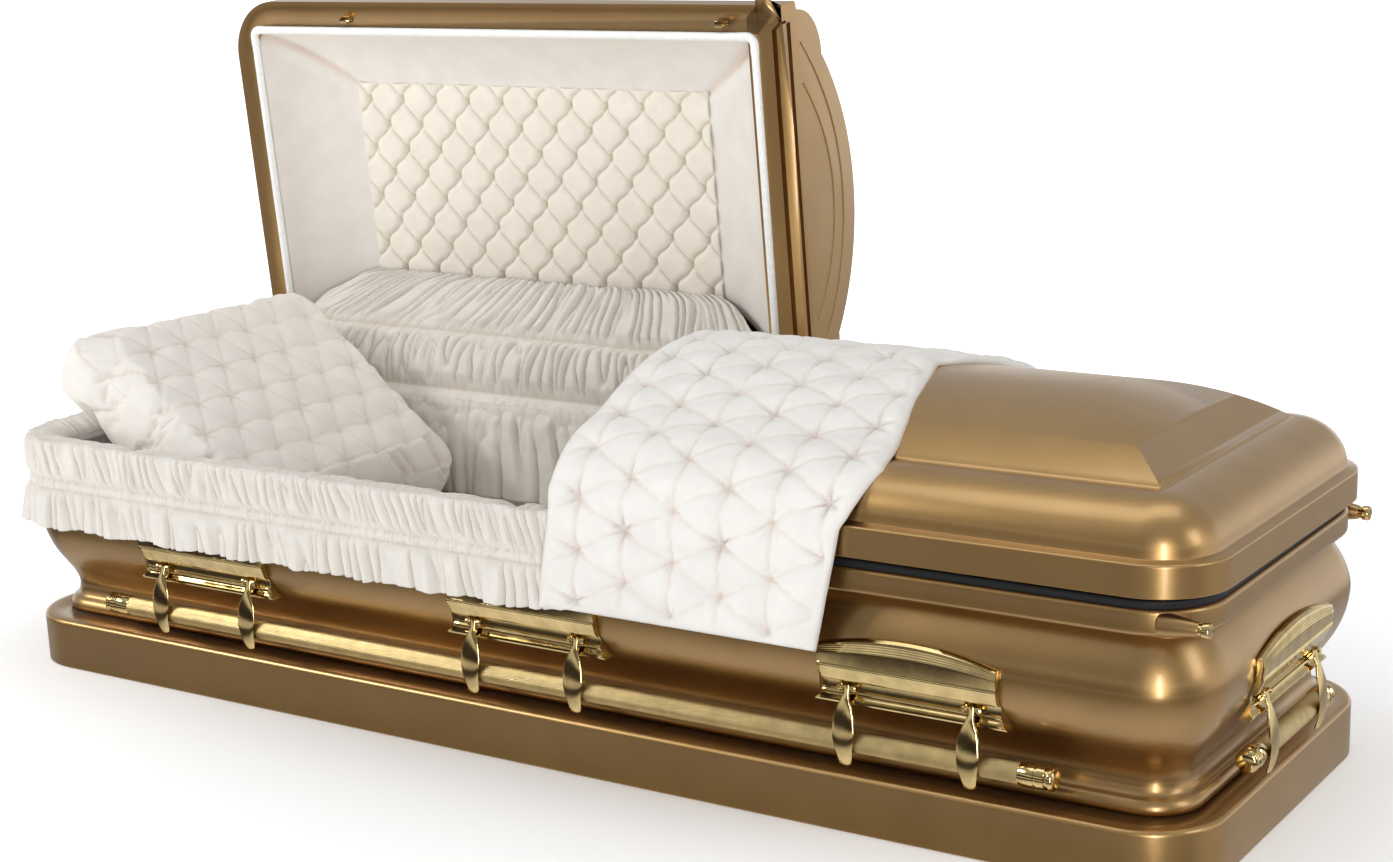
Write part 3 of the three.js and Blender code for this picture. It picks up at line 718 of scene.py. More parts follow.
# Side: (place, rail's length, its caps' length, places of its lugs)
LONG_LUGS = (-634, 6, 646)
RAILS = {
    "front": (rail_place(6, -LEDGE_WIDTH, 0), 1723, 50, LONG_LUGS),
    "back": (rail_place(6, LEDGE_WIDTH, 180), 1723, 50, LONG_LUGS),
    "head": (rail_place(-LEDGE_LENGTH, 0, -90), 306, 41, (0,)),
    "foot": (rail_place(LEDGE_LENGTH, 0, 90), 306, 41, (0,)),
}
RAIL_LINE = Matrix.Translation((0, -2, 127))


def hook_form(x):
    """A lid hook: a small folded plate with a curled tongue."""
    bm = bmesh.new()
    top = LID_BOTTOM - 0.3
    tongue = smooth_line([(y, top - down) for y, down in HOOK_LINE], 3)
    draw_on(bm, edge_chain(bm, [(x - 7, y, z) for y, z in tongue]), (7, 0, 0), 2)
    bmesh.ops.recalc_face_normals(bm, faces=bm.faces)
    bmesh.ops.solidify(bm, geom=bm.faces[:], thickness=1.4)
    place = Matrix.Translation((x, -298, top - 0.8)) @ Matrix.Diagonal((26, 9, 1.4, 1))
    plate = bmesh.ops.create_cube(bm, size=1, matrix=place)["verts"]
    round_off(bm, list({e for v in plate for e in v.link_edges}), 0.5, 2)
    return bm


# Settings


def colour_choice(name, description, hex_value):
    return bpy.props.FloatVectorProperty(
        name=name,
        description=description,
        subtype="COLOR",
        size=3,
        min=0,
        max=1,
        default=colour(hex_value)[:3],
    )


def length_choice(name, description, metres):
    return bpy.props.FloatProperty(
        name=name, description=description, default=metres, unit="LENGTH", precision=4
    )


class CasketColours(bpy.types.PropertyGroup):
    lacquer: colour_choice("Lacquer", "Sprayed lacquer of the steel", "#b8945f")
    gold: colour_choice("Gold", "Plating of the handles and rails", "#dcc48c")
    crepe: colour_choice("Crepe", "Shirred cloth and valance", "#e0dcd5")
    throw: colour_choice("Throw", "Quilted throw over the foot lid", "#e7e5e1")
    velvet: colour_choice("Velvet", "Tufted panel of the head lid", "#ece5da")
    blush: colour_choice("Soft velvet", "Pillow and padded cove", "#e6e2dc")


class CasketSizes(bpy.types.PropertyGroup):
    flange: length_choice("Lid flange", "Width of the folded flange under each lid", 0.046)
    steel: length_choice("Steel", "Thickness of the sheet steel", 0.0012)
    rail: length_choice("Rail radius", "Radius of the carrying rails", 0.015)
    gather: length_choice("Gather spacing", "Distance between gathers of shirred cloth", 0.0115)
    tuft_width: length_choice("Tuft width", "Distance between buttons along the casket", 0.075)
    tuft_height: length_choice("Tuft height", "Distance between rows of tufts", 0.045)
    quilt: length_choice("Quilt spacing", "Distance between pinches of the throw", 0.08)
    pressure: bpy.props.FloatProperty(
        name="Pillow filling",
        description="Air pressure that fills the pillow while it is simulated",
        default=4.0,
    )


class CASKET_OT_steel(bpy.types.Operator):
    """Base moulding, body and the two lids in lacquered steel"""

    bl_idname = "casket.steel"
    bl_label = "Painted steel"

    def execute(self, context):
        sizes = context.scene.casket_sizes
        smooth, brushed = "bronze_lacquer_smooth", "bronze_lacquer_brushed"

        def painted(bm, name, body, replaces, material=smooth, turn=None):
            piece = finish_piece(bm, name, body, material, [replaces], turn)
            thicken(piece, sizes.steel / MM)

        bm = bmesh.new()
        edge = arc(8, 76, 8, 180, 90, 6)[1:]
        line = [(8, 0), (1.5, 0.4), (0, 2), (0, 76), *edge, (64, 84)]
        sweep_rectangle(bm, line, 1065, 341, 109, steps=14)
        fill(bm, [e for e in bm.edges if e.is_boundary and e.verts[0].co.z < 1])
        painted(bm, "base_moulding_skin", "casket", "base_moulding")

        bm = bmesh.new()
        line = WALL_LINE + LEDGE_LINE
        sweep_rectangle(bm, line, LEDGE_LENGTH, LEDGE_WIDTH, LEDGE_CORNER, steps=14)
        for side in (-1, 1):
            turned(bm, SLEEVE_LINE, 32, end_tube_place(side))
        painted(bm, "body_skin", "casket", "body_shell", brushed)

        bm = lid_form()
        halve_lid(bm, FOOT_SPLIT, -1)
        open_underside(bm, sizes.flange / MM)
        painted(bm, "foot_lid_skin", "foot_lid", "foot_lid_shell", turn=FOOT_OPEN)

        bm = lid_form()
        halve_lid(bm, HEAD_SPLIT, 1)
        blank = loose_object(bm, "head_lid_blank")
        bm = bmesh.new()
        bm.from_mesh(cut_away(blank, loose_object(rebate_cutter(), "rebate_cutter")))
        open_underside(bm, sizes.flange / MM)
        painted(bm, "head_lid_skin", "head_lid", "head_lid_shell", turn=HEAD_OPEN)
        for lid, split, turn in (("head", HEAD_SPLIT, HEAD_OPEN), ("foot", FOOT_SPLIT, FOOT_OPEN)):
            beads = end_plate_beads(split)
            name, body = f"{lid}_lid_end_beads", f"{lid}_lid"
            finish_piece(beads, name, body, smooth, turn=turn)
        return {"FINISHED"}


class CASKET_OT_seal(bpy.types.Operator):
    """Rubber seal on the ledge"""

    bl_idname = "casket.seal"
    bl_label = "Seal"

    def execute(self, context):
        bm = bmesh.new()
        low = LEDGE_TOP + 0.3
        crown, lip = arc(8, low + 7, 4, 200, 90, 4), arc(12, low + 8, 3, 60, -10, 3)
        line = [(5, low), *crown, (11, low + 12), *lip, (14, low)]
        sweep_rectangle(bm, line, LEDGE_LENGTH, LEDGE_WIDTH, LEDGE_CORNER, closed=True)
        rubber = "epdm_black_moulded"
        finish_piece(bm, "ledge_seal", "casket", rubber, ["gasket"])
        return {"FINISHED"}


class CASKET_OT_fittings(bpy.types.Operator):
    """Lugs, swing arms, carrying rails, end tubes, hinges and lid hooks in gold plate"""

    bl_idname = "casket.fittings"
    bl_label = "Fittings"

    def execute(self, context):
        polished = "gold_plate_polished"
        radius = context.scene.casket_sizes.rail / MM

        def plated(bm, name, body, replaces, turn=None, crease=35):
            finish_piece(bm, name, body, polished, replaces, turn, crease)

        for side, (place, length, tip, lugs) in RAILS.items():
            body = f"{side}_rail"
            arm_number = 0
            for i, lug in enumerate(lugs):
                here = place @ Matrix.Translation((lug, 0, 0))
                label = f"{side}_lug_{i + 1}" if len(lugs) > 1 else f"{side}_lug"
                plated(lug_form(), f"{label}_casting", "casket", [label], here, 28)
                for x in ARM_PLACES:
                    arm_number += 1
                    label = f"{side}_arm_{arm_number}"
                    there = here @ Matrix.Translation((x, 0, 0))
                    plated(arm_form(), f"{label}_casting", body, [label], there, 50)
            line = place @ RAIL_LINE
            tube, name, bar = rail_form(length, tip, radius), f"{side}_rail_tube", [f"{side}_bar"]
            finish_piece(tube, name, body, "gold_plate_satin", bar, line, 60)
            plated(rail_caps(length, tip, radius), f"{side}_rail_caps", body, (), line)
        for label, side in (("front", -1), ("back", 1)):
            bm = bmesh.new()
            turned(bm, TUBE_CAP, 32, end_tube_place(side))
            plated(bm, f"{label}_end_tube_cap", "casket", [f"{label}_end_tube"])
        for name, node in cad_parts.items():
            if "hinge" in name:
                node.data.materials.clear()
                node.data.materials.append(material_named(polished))
        for i, x in enumerate(HOOK_PLACES, 1):
            catch = [f"head_lid_catch_{i}"]
            plated(hook_form(x), f"head_lid_hook_{i}", "head_lid", catch, HEAD_OPEN)
        return {"FINISHED"}


# Cloth


COVE = {"left": -1010, "right": 45, "front": -271, "back": 271}
PANEL = {"left": -855, "right": -112, "front": -162, "back": 185}
COVE_LOW, PANEL_HIGH = 387, 466


def mix(a, b, t):
    return a + (b - a) * t


def ease(t):
    t = min(max(t, 0.0), 1.0)
    return t * t * (3 - 2 * t)


def bell(t):
    return math.exp(-(t**2))


def ripple(x, y, z):
    """Smooth noise, from about -1 to 1."""
    return noise.noise(Vector((x, y, z)))


def along_path(points, t):
    """The point a share t of the way along a run of (place, y, z) keys."""
    for (t0, *p), (t1, *q) in zip(points, points[1:]):
        if t <= t1:
            s = (t - t0) / (t1 - t0)
            return [mix(a, b, s) for a, b in zip(p, q)]
    return list(points[-1][1:])


def folds(along, across, spacing, seed):
    """Rounded gathers with narrow creases between them: 0 in a crease, 1 on a fold."""
    drift = 0.5 * ripple(along / spacing * 0.23, across / spacing * 0.16, seed + 7.3)
    rough = ripple(along / spacing * 0.68 + drift, across / spacing * 0.07, seed)
    return min(1.0, abs(rough) * 3.2) ** 0.6


def ruffle(along, across, seed):
    """Small irregular dents in hanging cloth, from -1 to 1."""
    return ripple(along / 17, across / 29, seed) + 0.4 * ripple(along / 6, across / 11, seed)


def pinch(i, j, across, down):
    """Where a pinch of the quilting is, in staggered columns, a little off its mark."""
    shift = down / 2 if i % 2 else 0.0
    return (
        i * across + 0.05 * across * ripple(i * 1.7, j * 2.3, 3.1),
        j * down + shift + 0.05 * down * ripple(i * 2.9, j * 1.3, 8.7),
    )


def quilted(x, y, across, down):
    """Pinch quilting: 0 at a pinch and about 1 on a puff, creased from pinch to pinch."""
    column = round(x / across)
    near = []
    for i in (column - 1, column, column + 1):
        row = round(y / down - (0.5 if i % 2 else 0.0))
        for j in (row - 1, row, row + 1):
            px, py = pinch(i, j, across, down)
            near.append((math.hypot(x - px, y - py), px, py, i, j))
    distance, ax, ay, i, j = min(near)
    up = j + (i % 2)
    crease = 0.0
    neighbours = (
        *((i, j - 1, 1.0), (i, j + 1, 1.0), (i - 1, up - 1, 0.75)),
        *((i - 1, up, 0.85), (i + 1, up - 1, 0.85), (i + 1, up, 0.75)),
    )
    for m, n, strength in neighbours:
        bx, by = pinch(m, n, across, down)
        length = math.hypot(bx - ax, by - ay)
        ahead = ((x - ax) * (bx - ax) + (y - ay) * (by - ay)) / length
        curved = math.sin(math.pi * min(max(ahead / length, 0), 1))
        bow = 3.0 * ripple(i + m, j + n, 5.5) * curved
        off = ((bx - ax) * (y - ay) - (by - ay) * (x - ax)) / length - bow
        if ahead > 0:
            fade = 0.42 + 0.58 * math.exp(-distance / 16)
            crease = max(crease, strength * bell(off / (2.3 + 0.035 * distance)) * fade)
    puff = 1 - math.exp(-((distance / (0.27 * down)) ** 1.15))
    angle = math.atan2(y - ay, x - ax)
    turn = 9 * ripple(i * 3.1, j * 1.9, 1.7)
    star = math.sin(6 * angle + turn) + 0.5 * math.sin(11 * angle - turn)
    return puff - 0.5 * crease + 0.14 * star * math.exp(-((distance - 10) ** 2) / 110)


def face_the(bm, point):
    """Turns all faces towards a point, so that a wall grows the right way."""
    bmesh.ops.remove_doubles(bm, verts=bm.verts, dist=SEAM)
    bmesh.ops.recalc_face_normals(bm, faces=bm.faces)
    bm.normal_update()
    seen = 0
    for face in bm.faces:
        ahead = (point - face.calc_center_median()).normalized()
        seen += face.normal.dot(ahead) * face.calc_area()
    if seen < 0:
        bmesh.ops.reverse_faces(bm, faces=bm.faces)


def mark_fold_shade(piece, rounds, full_mm):
    """Notes how deep each point lies in a fold, 0 to 1, for the cloth's painted fold shade."""
    mesh = piece.data
    count = len(mesh.vertices)
    ends = np.empty(len(mesh.edges) * 2, dtype=np.int64)
    mesh.edges.foreach_get("vertices", ends)
    a, b = ends[0::2], ends[1::2]
    flat = np.empty(count * 3)
    mesh.vertices.foreach_get("co", flat)
    start = flat.reshape(-1, 3)
    normals = np.array([v.normal for v in mesh.vertices])
    links = np.bincount(np.concatenate((a, b)), minlength=count)[:, None]
    smooth = start.copy()
    for _ in range(rounds):
        near = [
            np.bincount(a, smooth[b, n], count) + np.bincount(b, smooth[a, n], count)
            for n in range(3)
        ]
        smooth = 0.4 * smooth + 0.6 * np.stack(near, 1) / links
    deep = ((smooth - start) * normals).sum(1) / (full_mm * MM)
    mark = mesh.attributes.new("fold", "FLOAT", "POINT")
    mark.data.foreach_set("value", np.clip(deep, 0, 1))


def finish_soft(bm, name, body, material, replaces, turn=None, recalc=True):
    return finish_piece(bm, name, body, material, replaces, turn, 0, recalc)


def finish_cloth(bm, name, body, material, towards, replaces, turn=None, thickness=2.0):
    """A sheet whose good side looks towards a point."""
    face_the(bm, Vector(towards))
    piece = finish_soft(bm, name, body, material, replaces, turn, recalc=False)
    mark_fold_shade(piece, 10, 2.6)
    thicken(piece, thickness)
    return piece


def pleat(t):
    """A padded rise between two pleats, 0 at each whole number."""
    return 1 - (1 - abs(math.sin(math.pi * t))) ** 4.2


def tuft(x, y, width, height):
    """Diamond tufting: buttons in staggered rows, joined by pleats that bend in an S."""
    a = x / width + y / (2 * height)
    b = x / width - y / (2 * height)
    a, b = a + 0.055 * math.sin(2 * math.pi * b), b + 0.02 * math.sin(2 * math.pi * a)
    da, db = a - round(a), b - round(b)
    across, along = (da + db) * width / 2 / 6.5, (da - db) * height / 6.5
    button = math.exp(-(across**2) - (along**2))
    puff = (0.35 + 0.65 * pleat(a)) * (0.45 + 0.55 * pleat(b))
    return 9.5 * (puff - 0.16) / 0.84 - 6 * button


def open_frame(box):
    """The corners of a box seen from above, from the hinge side round to the hinge side."""
    left, right, front, back = box.values()
    return [(left, back), (left, front), (right, front), (right, back)]


TRIM_LINE = [
    *[(0, 0), (0.6, 4), (2.4, 6), (5.4, 6.9), (8.6, 6.5), (11.6, 5), (13.4, 1.6), (14, 0)]
]
TRIM_WIDTH, TRIM_CORNER = 285, 20


class CASKET_OT_head_lining(bpy.types.Operator):
    """Tufted panel, padded cove and white trim inside the head lid"""

    bl_idname = "casket.head_lining"
    bl_label = "Head lid lining"

    def execute(self, context):
        sizes = context.scene.casket_sizes
        width, height = sizes.tuft_width / MM, sizes.tuft_height / MM
        lap = 8
        span = PANEL["right"] - PANEL["left"] + 2 * lap
        depth = PANEL["back"] - PANEL["front"] + 2 * lap
        below = (-480, 0, 100)

        def tufted(u, v):
            x = PANEL["left"] - lap + span * u
            y = PANEL["front"] - lap + depth * v
            slack = 0.5 * ripple(x / 14, y / 14, 2.0)
            puff = tuft(x - 22, y + 6, width, height)
            return Vector((x, y, PANEL_HIGH + 14 - puff - slack))

        piece = finish_cloth(
            cloth_grid(284, 142, tufted),
            "head_lid_tufts",
            "head_lid",
            "velvet_ivory_pile",
            below,
            ["head_lid_tufting"],
            HEAD_OPEN,
            4,
        )

        bm = bmesh.new()
        outer, inner = open_frame(COVE), open_frame(PANEL)
        for k in range(3):

            def padded_side(u, v, k=k):
                t = math.pi / 2 * v
                deep = mix(1 - math.cos(t), v, 0.35)
                rise = mix(math.sin(t), v, 0.35)
                edge = [mix(outer[k][n], outer[k + 1][n], u) for n in (0, 1)]
                core = [mix(inner[k][n], inner[k + 1][n], u) for n in (0, 1)]
                seam = min(u, 1 - u) * 18
                plump = 5 * math.sin(math.pi * v) * ease(seam) - 2.5 * bell(seam * 4)
                x, y = mix(edge[0], core[0], deep), mix(edge[1], core[1], deep)
                dents = 0.9 * ripple(x / 60, y / 60, 4.0) * ease(seam)
                return Vector((x, y, mix(COVE_LOW, PANEL_HIGH + 12, rise) - plump - dents))

            patch = cloth_grid(90, 26, padded_side)
            mesh = bpy.data.meshes.new("side")
            patch.to_mesh(mesh)
            patch.free()
            bm.from_mesh(mesh)
        piece = finish_cloth(
            bm,
            "head_lid_padded_cove",
            "head_lid",
            "velvet_blush_pile",
            below,
            ["head_lid_cove"],
            HEAD_OPEN,
            5,
        )

        bm = bmesh.new()
        top = LID_BOTTOM - 0.3
        line = [(inset, top - down) for inset, down in TRIM_LINE]
        middle = (COVE["left"] + COVE["right"]) / 2
        half = (COVE["right"] - COVE["left"]) / 2 + 13
        sweep_rectangle(bm, line, half, TRIM_WIDTH, TRIM_CORNER, 8, True, middle)
        for sx in (-1, 1):
            for sy in (-1, 1):
                trim_elbow(bm, line, middle + sx * half, sy * TRIM_WIDTH, sx, sy)
        white = "pvc_white_extruded"
        replaces = ["head_lid_moulding"]
        finish_piece(
            bm, "head_lid_trim", "head_lid", white, replaces, HEAD_OPEN, 50
        )
        return {"FINISHED"}


def trim_elbow(bm, line, x, y, sx, sy):
    """A snap-on elbow over a corner of the trim."""
    lap = 15
    start = x - sx * (TRIM_CORNER + lap)
    chain = []
    for inset, z in line:
        down = 0.5 if z < LID_BOTTOM - 1 else 0
        chain.append((start, y - sy * mix(inset, 7, -0.09), z - down))
    geometry = edge_chain(bm, chain, closed=True)
    end = of_kind(geometry, bmesh.types.BMEdge)
    ahead = draw_on(bm, geometry, (sx * lap, 0, 0))
    centre = (x - sx * TRIM_CORNER, y - sy * TRIM_CORNER, 0)
    bend = bend_on(bm, ahead, centre, (0, 0, -sx * sy), 8)
    last = draw_on(bm, bend, (0, -sy * lap, 0))
    fill(bm, end)
    fill(bm, of_kind(last, bmesh.types.BMEdge))


# (share, y, z) from the tufted panel's edge, over the hinge line and down inside the body
APRON_PATH = [
    *[(0.0, 420, 563), (0.06, 409, 549), (0.13, 388, 522), (0.20, 364, 497), (0.27, 345, 480)],
    *[(0.33, 330, 463), (0.42, 311, 430), (0.50, 298, 402), (0.54, 291, 388), (0.60, 280, 374)],
    *[(0.68, 271, 345), (0.84, 264, 280), (1.0, 262, 205)],
]
# The shares at which the apron is stitched to a band
BANDS = (0.27, 0.54)
FINE_GATHER = 6.5


class CASKET_OT_apron(bpy.types.Operator):
    """Shirred cloth from the head lid over the hinge line and down inside the body"""

    bl_idname = "casket.apron"
    bl_label = "Hinge side cloth"

    def execute(self, context):
        spacing = context.scene.casket_sizes.gather / MM
        first, second = BANDS

        def hang(u, v):
            y, z = along_path(APRON_PATH, v)
            upper = min(v / first, 1.0) ** 0.8
            left = mix(PANEL["left"], COVE["left"] + 6, upper)
            right = mix(PANEL["right"], COVE["right"] - 4, upper) + 46 * ease((v - 0.3) / 0.25)
            near = min(abs(v - band) for band in BANDS)
            loose = ease((near - 0.01) / 0.045)
            down = v * 460
            place = mix(-930, -20, u) + (26 * v / first if v < first else 26)
            if v < second:
                gathers = folds(place + 0.2 * down, down, spacing, 5.0 + (v > first))
                depth = 12 * loose * gathers
            else:
                fine = folds(place, down, spacing, 9.0) * 4 * (1 - ease((v - second) / 0.1))
                hanging = folds(place, down, spacing * 2.1, 12.0)
                depth = fine * loose + 14 * ease((v - second) / 0.16) * hanging
            depth += 2.6 * folds(place, down, FINE_GATHER, 2.0) * (1 - loose)
            depth += 6 * math.sin(math.pi * min(max(v / first, 0), 1))
            depth += 1.6 * ruffle(place, down, 4.0) * loose
            if first < v < second:
                depth += 9 * math.sin(math.pi * (v - first) / (second - first))
            depth -= 2.5 * bell(near / 0.012)
            facing = Vector((0, -0.78, 0.62)) if v < second else Vector((0, -1, 0.12))
            return Vector((mix(left, right, u), y, z)) + facing.normalized() * depth

        crepe, replaces = "crepe_ivory_woven", ["head_lid_apron"]
        bm = cloth_grid(392, 96, hang)
        piece = finish_cloth(bm, "hinge_side_cloth", None, crepe, (-480, -400, 700), replaces)
        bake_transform(piece)
        return {"FINISHED"}


# How far the valance runs from the split to the casket's middle, and along the head end
VALANCE_START, VALANCE_TAIL = 100, 420


def ledge_place(along):
    """A point and outward direction on the ledge's face, this far round from the split
    towards the head end and round its corner."""
    front = VALANCE_START + LEDGE_LENGTH - LEDGE_CORNER
    bend = LEDGE_CORNER * math.pi / 2
    if along < front:
        return Vector((VALANCE_START - along, -LEDGE_WIDTH, 0)), Vector((0, -1, 0))
    corner = Vector((-LEDGE_LENGTH + LEDGE_CORNER, -LEDGE_WIDTH + LEDGE_CORNER, 0))
    if along < front + bend:
        turn = (along - front) / LEDGE_CORNER
        out = Vector((-math.sin(turn), -math.cos(turn), 0))
        return corner + out * LEDGE_CORNER, out
    return Vector((-LEDGE_LENGTH, corner.y + along - front - bend, 0)), Vector((-1, 0, 0))


# (share, out from the ledge's face, height)
VALANCE_PATH = [
    *[(0.0, -58, 362), (0.06, -46, 378), (0.10, -28, 386), (0.20, -2, 392), (0.26, 7, 394)],
    *[(0.32, 12.5, 388), (0.40, 14.5, 372), (0.60, 16.5, 328), (0.66, 18, 315)],
    *[(0.80, 22, 285), (1.0, 27, 252)],
]


class CASKET_OT_valance(bpy.types.Operator):
    """Gathered valance laid over the ledge of the open half"""

    bl_idname = "casket.valance"
    bl_label = "Valance"

    def execute(self, context):
        spacing = context.scene.casket_sizes.gather / MM
        front = VALANCE_START + LEDGE_LENGTH - LEDGE_CORNER
        total = front + LEDGE_CORNER * math.pi / 2 + VALANCE_TAIL

        def gathered(u, v):
            along = u * total
            base, out = ledge_place(along)
            reach, z = along_path(VALANCE_PATH, v)
            down = 400 - z
            band = min(abs(v - 0.60), abs(v - 0.66))
            inside = 1.0 if 0.60 < v < 0.66 else 0.0
            loose = ease((band - 0.004) / 0.07) * (1 - inside)
            open_hem = ease((v - 0.7) / 0.3)
            if v < 0.63:
                fold = folds(along + 0.35 * down, down, spacing, 3.0)
            else:
                fold = folds(along + 0.25 * down, down, spacing * 1.35, 6.0)
            depth = (9.5 + 3 * open_hem) * loose * fold * ease((v + 0.02) / 0.16)
            fine = folds(along, down, FINE_GATHER, 2.0)
            depth += 3.2 * fine * (1 - loose) * (0.4 + 0.6 * inside)
            depth += 1.7 * ruffle(along, down, 1.0) * loose
            depth -= 1.6 * bell(band / 0.011)
            tuck = ease(1 - along / 34)
            # The cloth dips where a lid hook comes down on the ledge
            hook = max(math.exp(-(((base.x - place) / 20) ** 4)) for place in HOOK_PLACES)
            if v > 0.2:
                reach = mix(reach + depth, 7, tuck * 0.8)
            else:
                z += depth * 0.6 * (1 - hook) - 5 * hook
            z += 2.2 * math.sin(along / 21 + 2 * ripple(along / 60, 0, 5)) * open_hem
            z = mix(z, z + 3, ease((along - total + 26) / 26))
            return base + out * reach + Vector((0, 0, z))

        piece = finish_cloth(
            cloth_grid(740, 60, gathered),
            "ledge_valance",
            "casket",
            "crepe_ivory_woven",
            (-480, -900, 700),
            ["valance"],
            thickness=1.6,
        )
        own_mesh(piece)
        return {"FINISHED"}


# (share, y, z) over the closed foot lid, from the hem in front to the hem behind
THROW_PATH = [
    *[(0.0, -356, 256), (0.06, -351, 300), (0.13, -344, 352), (0.19, -337, 398)],
    *[(0.225, -335, 424), (0.245, -328, 437), (0.275, -316, 456), (0.31, -297, 477)],
    *[(0.345, -272, 494), (0.38, -243, 504), (0.41, -220, 512), (0.47, -172, 537)],
    *[(0.55, -108, 562), (0.63, -50, 575), (0.70, 0, 579.5), (0.77, 50, 575)],
    *[(0.85, 108, 562), (0.92, 172, 537), (0.96, 220, 512), (1.0, 262, 499)],
]
# (share, edge towards the head end, edge towards the foot end)
THROW_EDGES = [
    *[(0.0, 72, 529), (0.225, 84, 558), (0.345, 90, 590), (0.47, 94, 575)],
    *[(0.70, 95, 532), (0.80, 95, 560), (1.0, 96, 640)],
]


class CASKET_OT_throw(bpy.types.Operator):
    """Pinch-quilted throw draped over the foot lid"""

    bl_idname = "casket.throw"
    bl_label = "Throw"

    def execute(self, context):
        pitch = context.scene.casket_sizes.quilt / MM
        lengths = [0.0]
        for (_, y0, z0), (_, y1, z1) in zip(THROW_PATH, THROW_PATH[1:]):
            lengths.append(lengths[-1] + math.hypot(y1 - y0, z1 - z0))
        total = lengths[-1]
        line = smooth_line([(s / total, y, z) for s, (_, y, z) in zip(lengths, THROW_PATH)], 6)
        shares = [(s / total, share) for s, (share, _, _) in zip(lengths, THROW_PATH)]

        def draped(u, v):
            y, z = along_path(line, v)
            y2, z2 = along_path(line, min(v + 0.01, 1.0))
            y1, z1 = along_path(line, max(v - 0.01, 0.0))
            share = along_path(shares, v)[0]
            left, right = along_path(THROW_EDGES, share)
            wave = 4 * ripple(u * 3, v * 9, 2.2)
            x = mix(left, right, u) + wave * (1 if u > 0.5 else 0.5)
            down = v * total
            edge = min(u * (right - left), (1 - u) * (right - left), down, total - down)
            flat = quilted(x - 137, down - 91, pitch, pitch * 0.93)
            roll = 1 - min(edge / 9, 1.0)
            height = 10 * math.sqrt(1 - roll * roll) + 12.5 * (flat - 0.3) * ease(edge / 22)
            height += 0.8 * ripple(x / 16, down / 16, 6.0)
            if x < FOOT_SPLIT + 6:
                # Stays over the head lid's skin when both lids are open
                height = max(height, 8.0)
            return Vector((x, y, z)) + Vector((0, z1 - z2, y2 - y1)).normalized() * height

        piece = finish_cloth(
            cloth_grid(137, 255, draped),
            "foot_lid_quilted_throw",
            "foot_lid",
            "crepe_white_woven",
            (300, -400, 3000),
            ["foot_lid_throw"],
            FOOT_OPEN,
            4,
        )
        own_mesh(piece)
        return {"FINISHED"}


# The filled pillow's middle, size and tilt, the height of its seam, and the case sewn for it
PILLOW_PLACE, PILLOW_SIZE = (-774, -18, 379), (500, 540, 160)
PILLOW_TILT, PILLOW_YAW, PILLOW_SEAM = 36, -5, 44
CASE_SIZE, CASE_CORNER, CASE_GRAIN = (500, 530, 84), 62, 0.0065
# How far filling may move a point of the case, in metres, and over how many frames
FILL_REACH, FILL_FRAMES = 0.034, 20


class CASKET_OT_pillow(bpy.types.Operator):
    """Boxed pillow with a pinch-quilted top, filled by a cloth simulation"""

    bl_idname = "casket.pillow"
    bl_label = "Pillow"

    def execute(self, context):
        bm = bmesh.new()
        bmesh.ops.create_cube(bm, size=1, matrix=Matrix.Diagonal((*CASE_SIZE, 1)))
        round_off(bm, upright_edges(bm), CASE_CORNER, 6)
        bmesh.ops.scale(bm, vec=(MM, MM, MM), verts=bm.verts)
        blank = loose_object(bm, "pillow_blank")
        remesh = blank.modifiers.new("remesh", "REMESH")
        remesh.mode = "VOXEL"
        remesh.voxel_size = CASE_GRAIN
        mesh = final_mesh(blank)
        bpy.data.objects.remove(blank)
        mesh = filled(mesh, context.scene.casket_sizes.pressure)

        bm = bmesh.new()
        bm.from_mesh(mesh)
        bmesh.ops.scale(bm, vec=(1 / MM, 1 / MM, 1 / MM), verts=bm.verts)
        bmesh.ops.subdivide_edges(bm, edges=bm.edges[:], cuts=1, use_grid_fill=True)
        spans = [[v.co[n] for v in bm.verts] for n in range(3)]
        fit = tuple(want / (max(s) - min(s)) for want, s in zip(PILLOW_SIZE, spans))
        bmesh.ops.scale(bm, vec=fit, verts=bm.verts)
        bm.normal_update()
        half_l = max(v.co.x for v in bm.verts)
        half_w = max(v.co.y for v in bm.verts)
        moves = []
        for vert in bm.verts:
            x, y, z = vert.co
            rim = min(half_l - abs(x), half_w - abs(y))
            top = ease((vert.normal.z - 0.25) / 0.5) * ease((rim - 10) / 45)
            quilt = 7 * (quilted(x + 10, y + 24, 66, 70) - 0.8) * top
            seam = -2.4 * bell((z - PILLOW_SEAM) / 2.2) * (1 - ease((rim - 6) / 30))
            slack = 1.2 * ripple(x / 34, y / 34, z / 34)
            moves.append(vert.normal * (quilt + seam + slack))
        for vert, move in zip(bm.verts, moves):
            vert.co += move
        yaw = Matrix.Rotation(math.radians(PILLOW_YAW), 4, "Z")
        tilt = Matrix.Rotation(math.radians(PILLOW_TILT), 4, "Y")
        turn = Matrix.Translation(PILLOW_PLACE) @ yaw @ tilt
        piece = finish_soft(bm, "head_pillow", "casket", "velvet_blush_pile", ["pillow"], turn)
        mark_fold_shade(piece, 8, 2.2)
        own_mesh(piece)
        return {"FINISHED"}


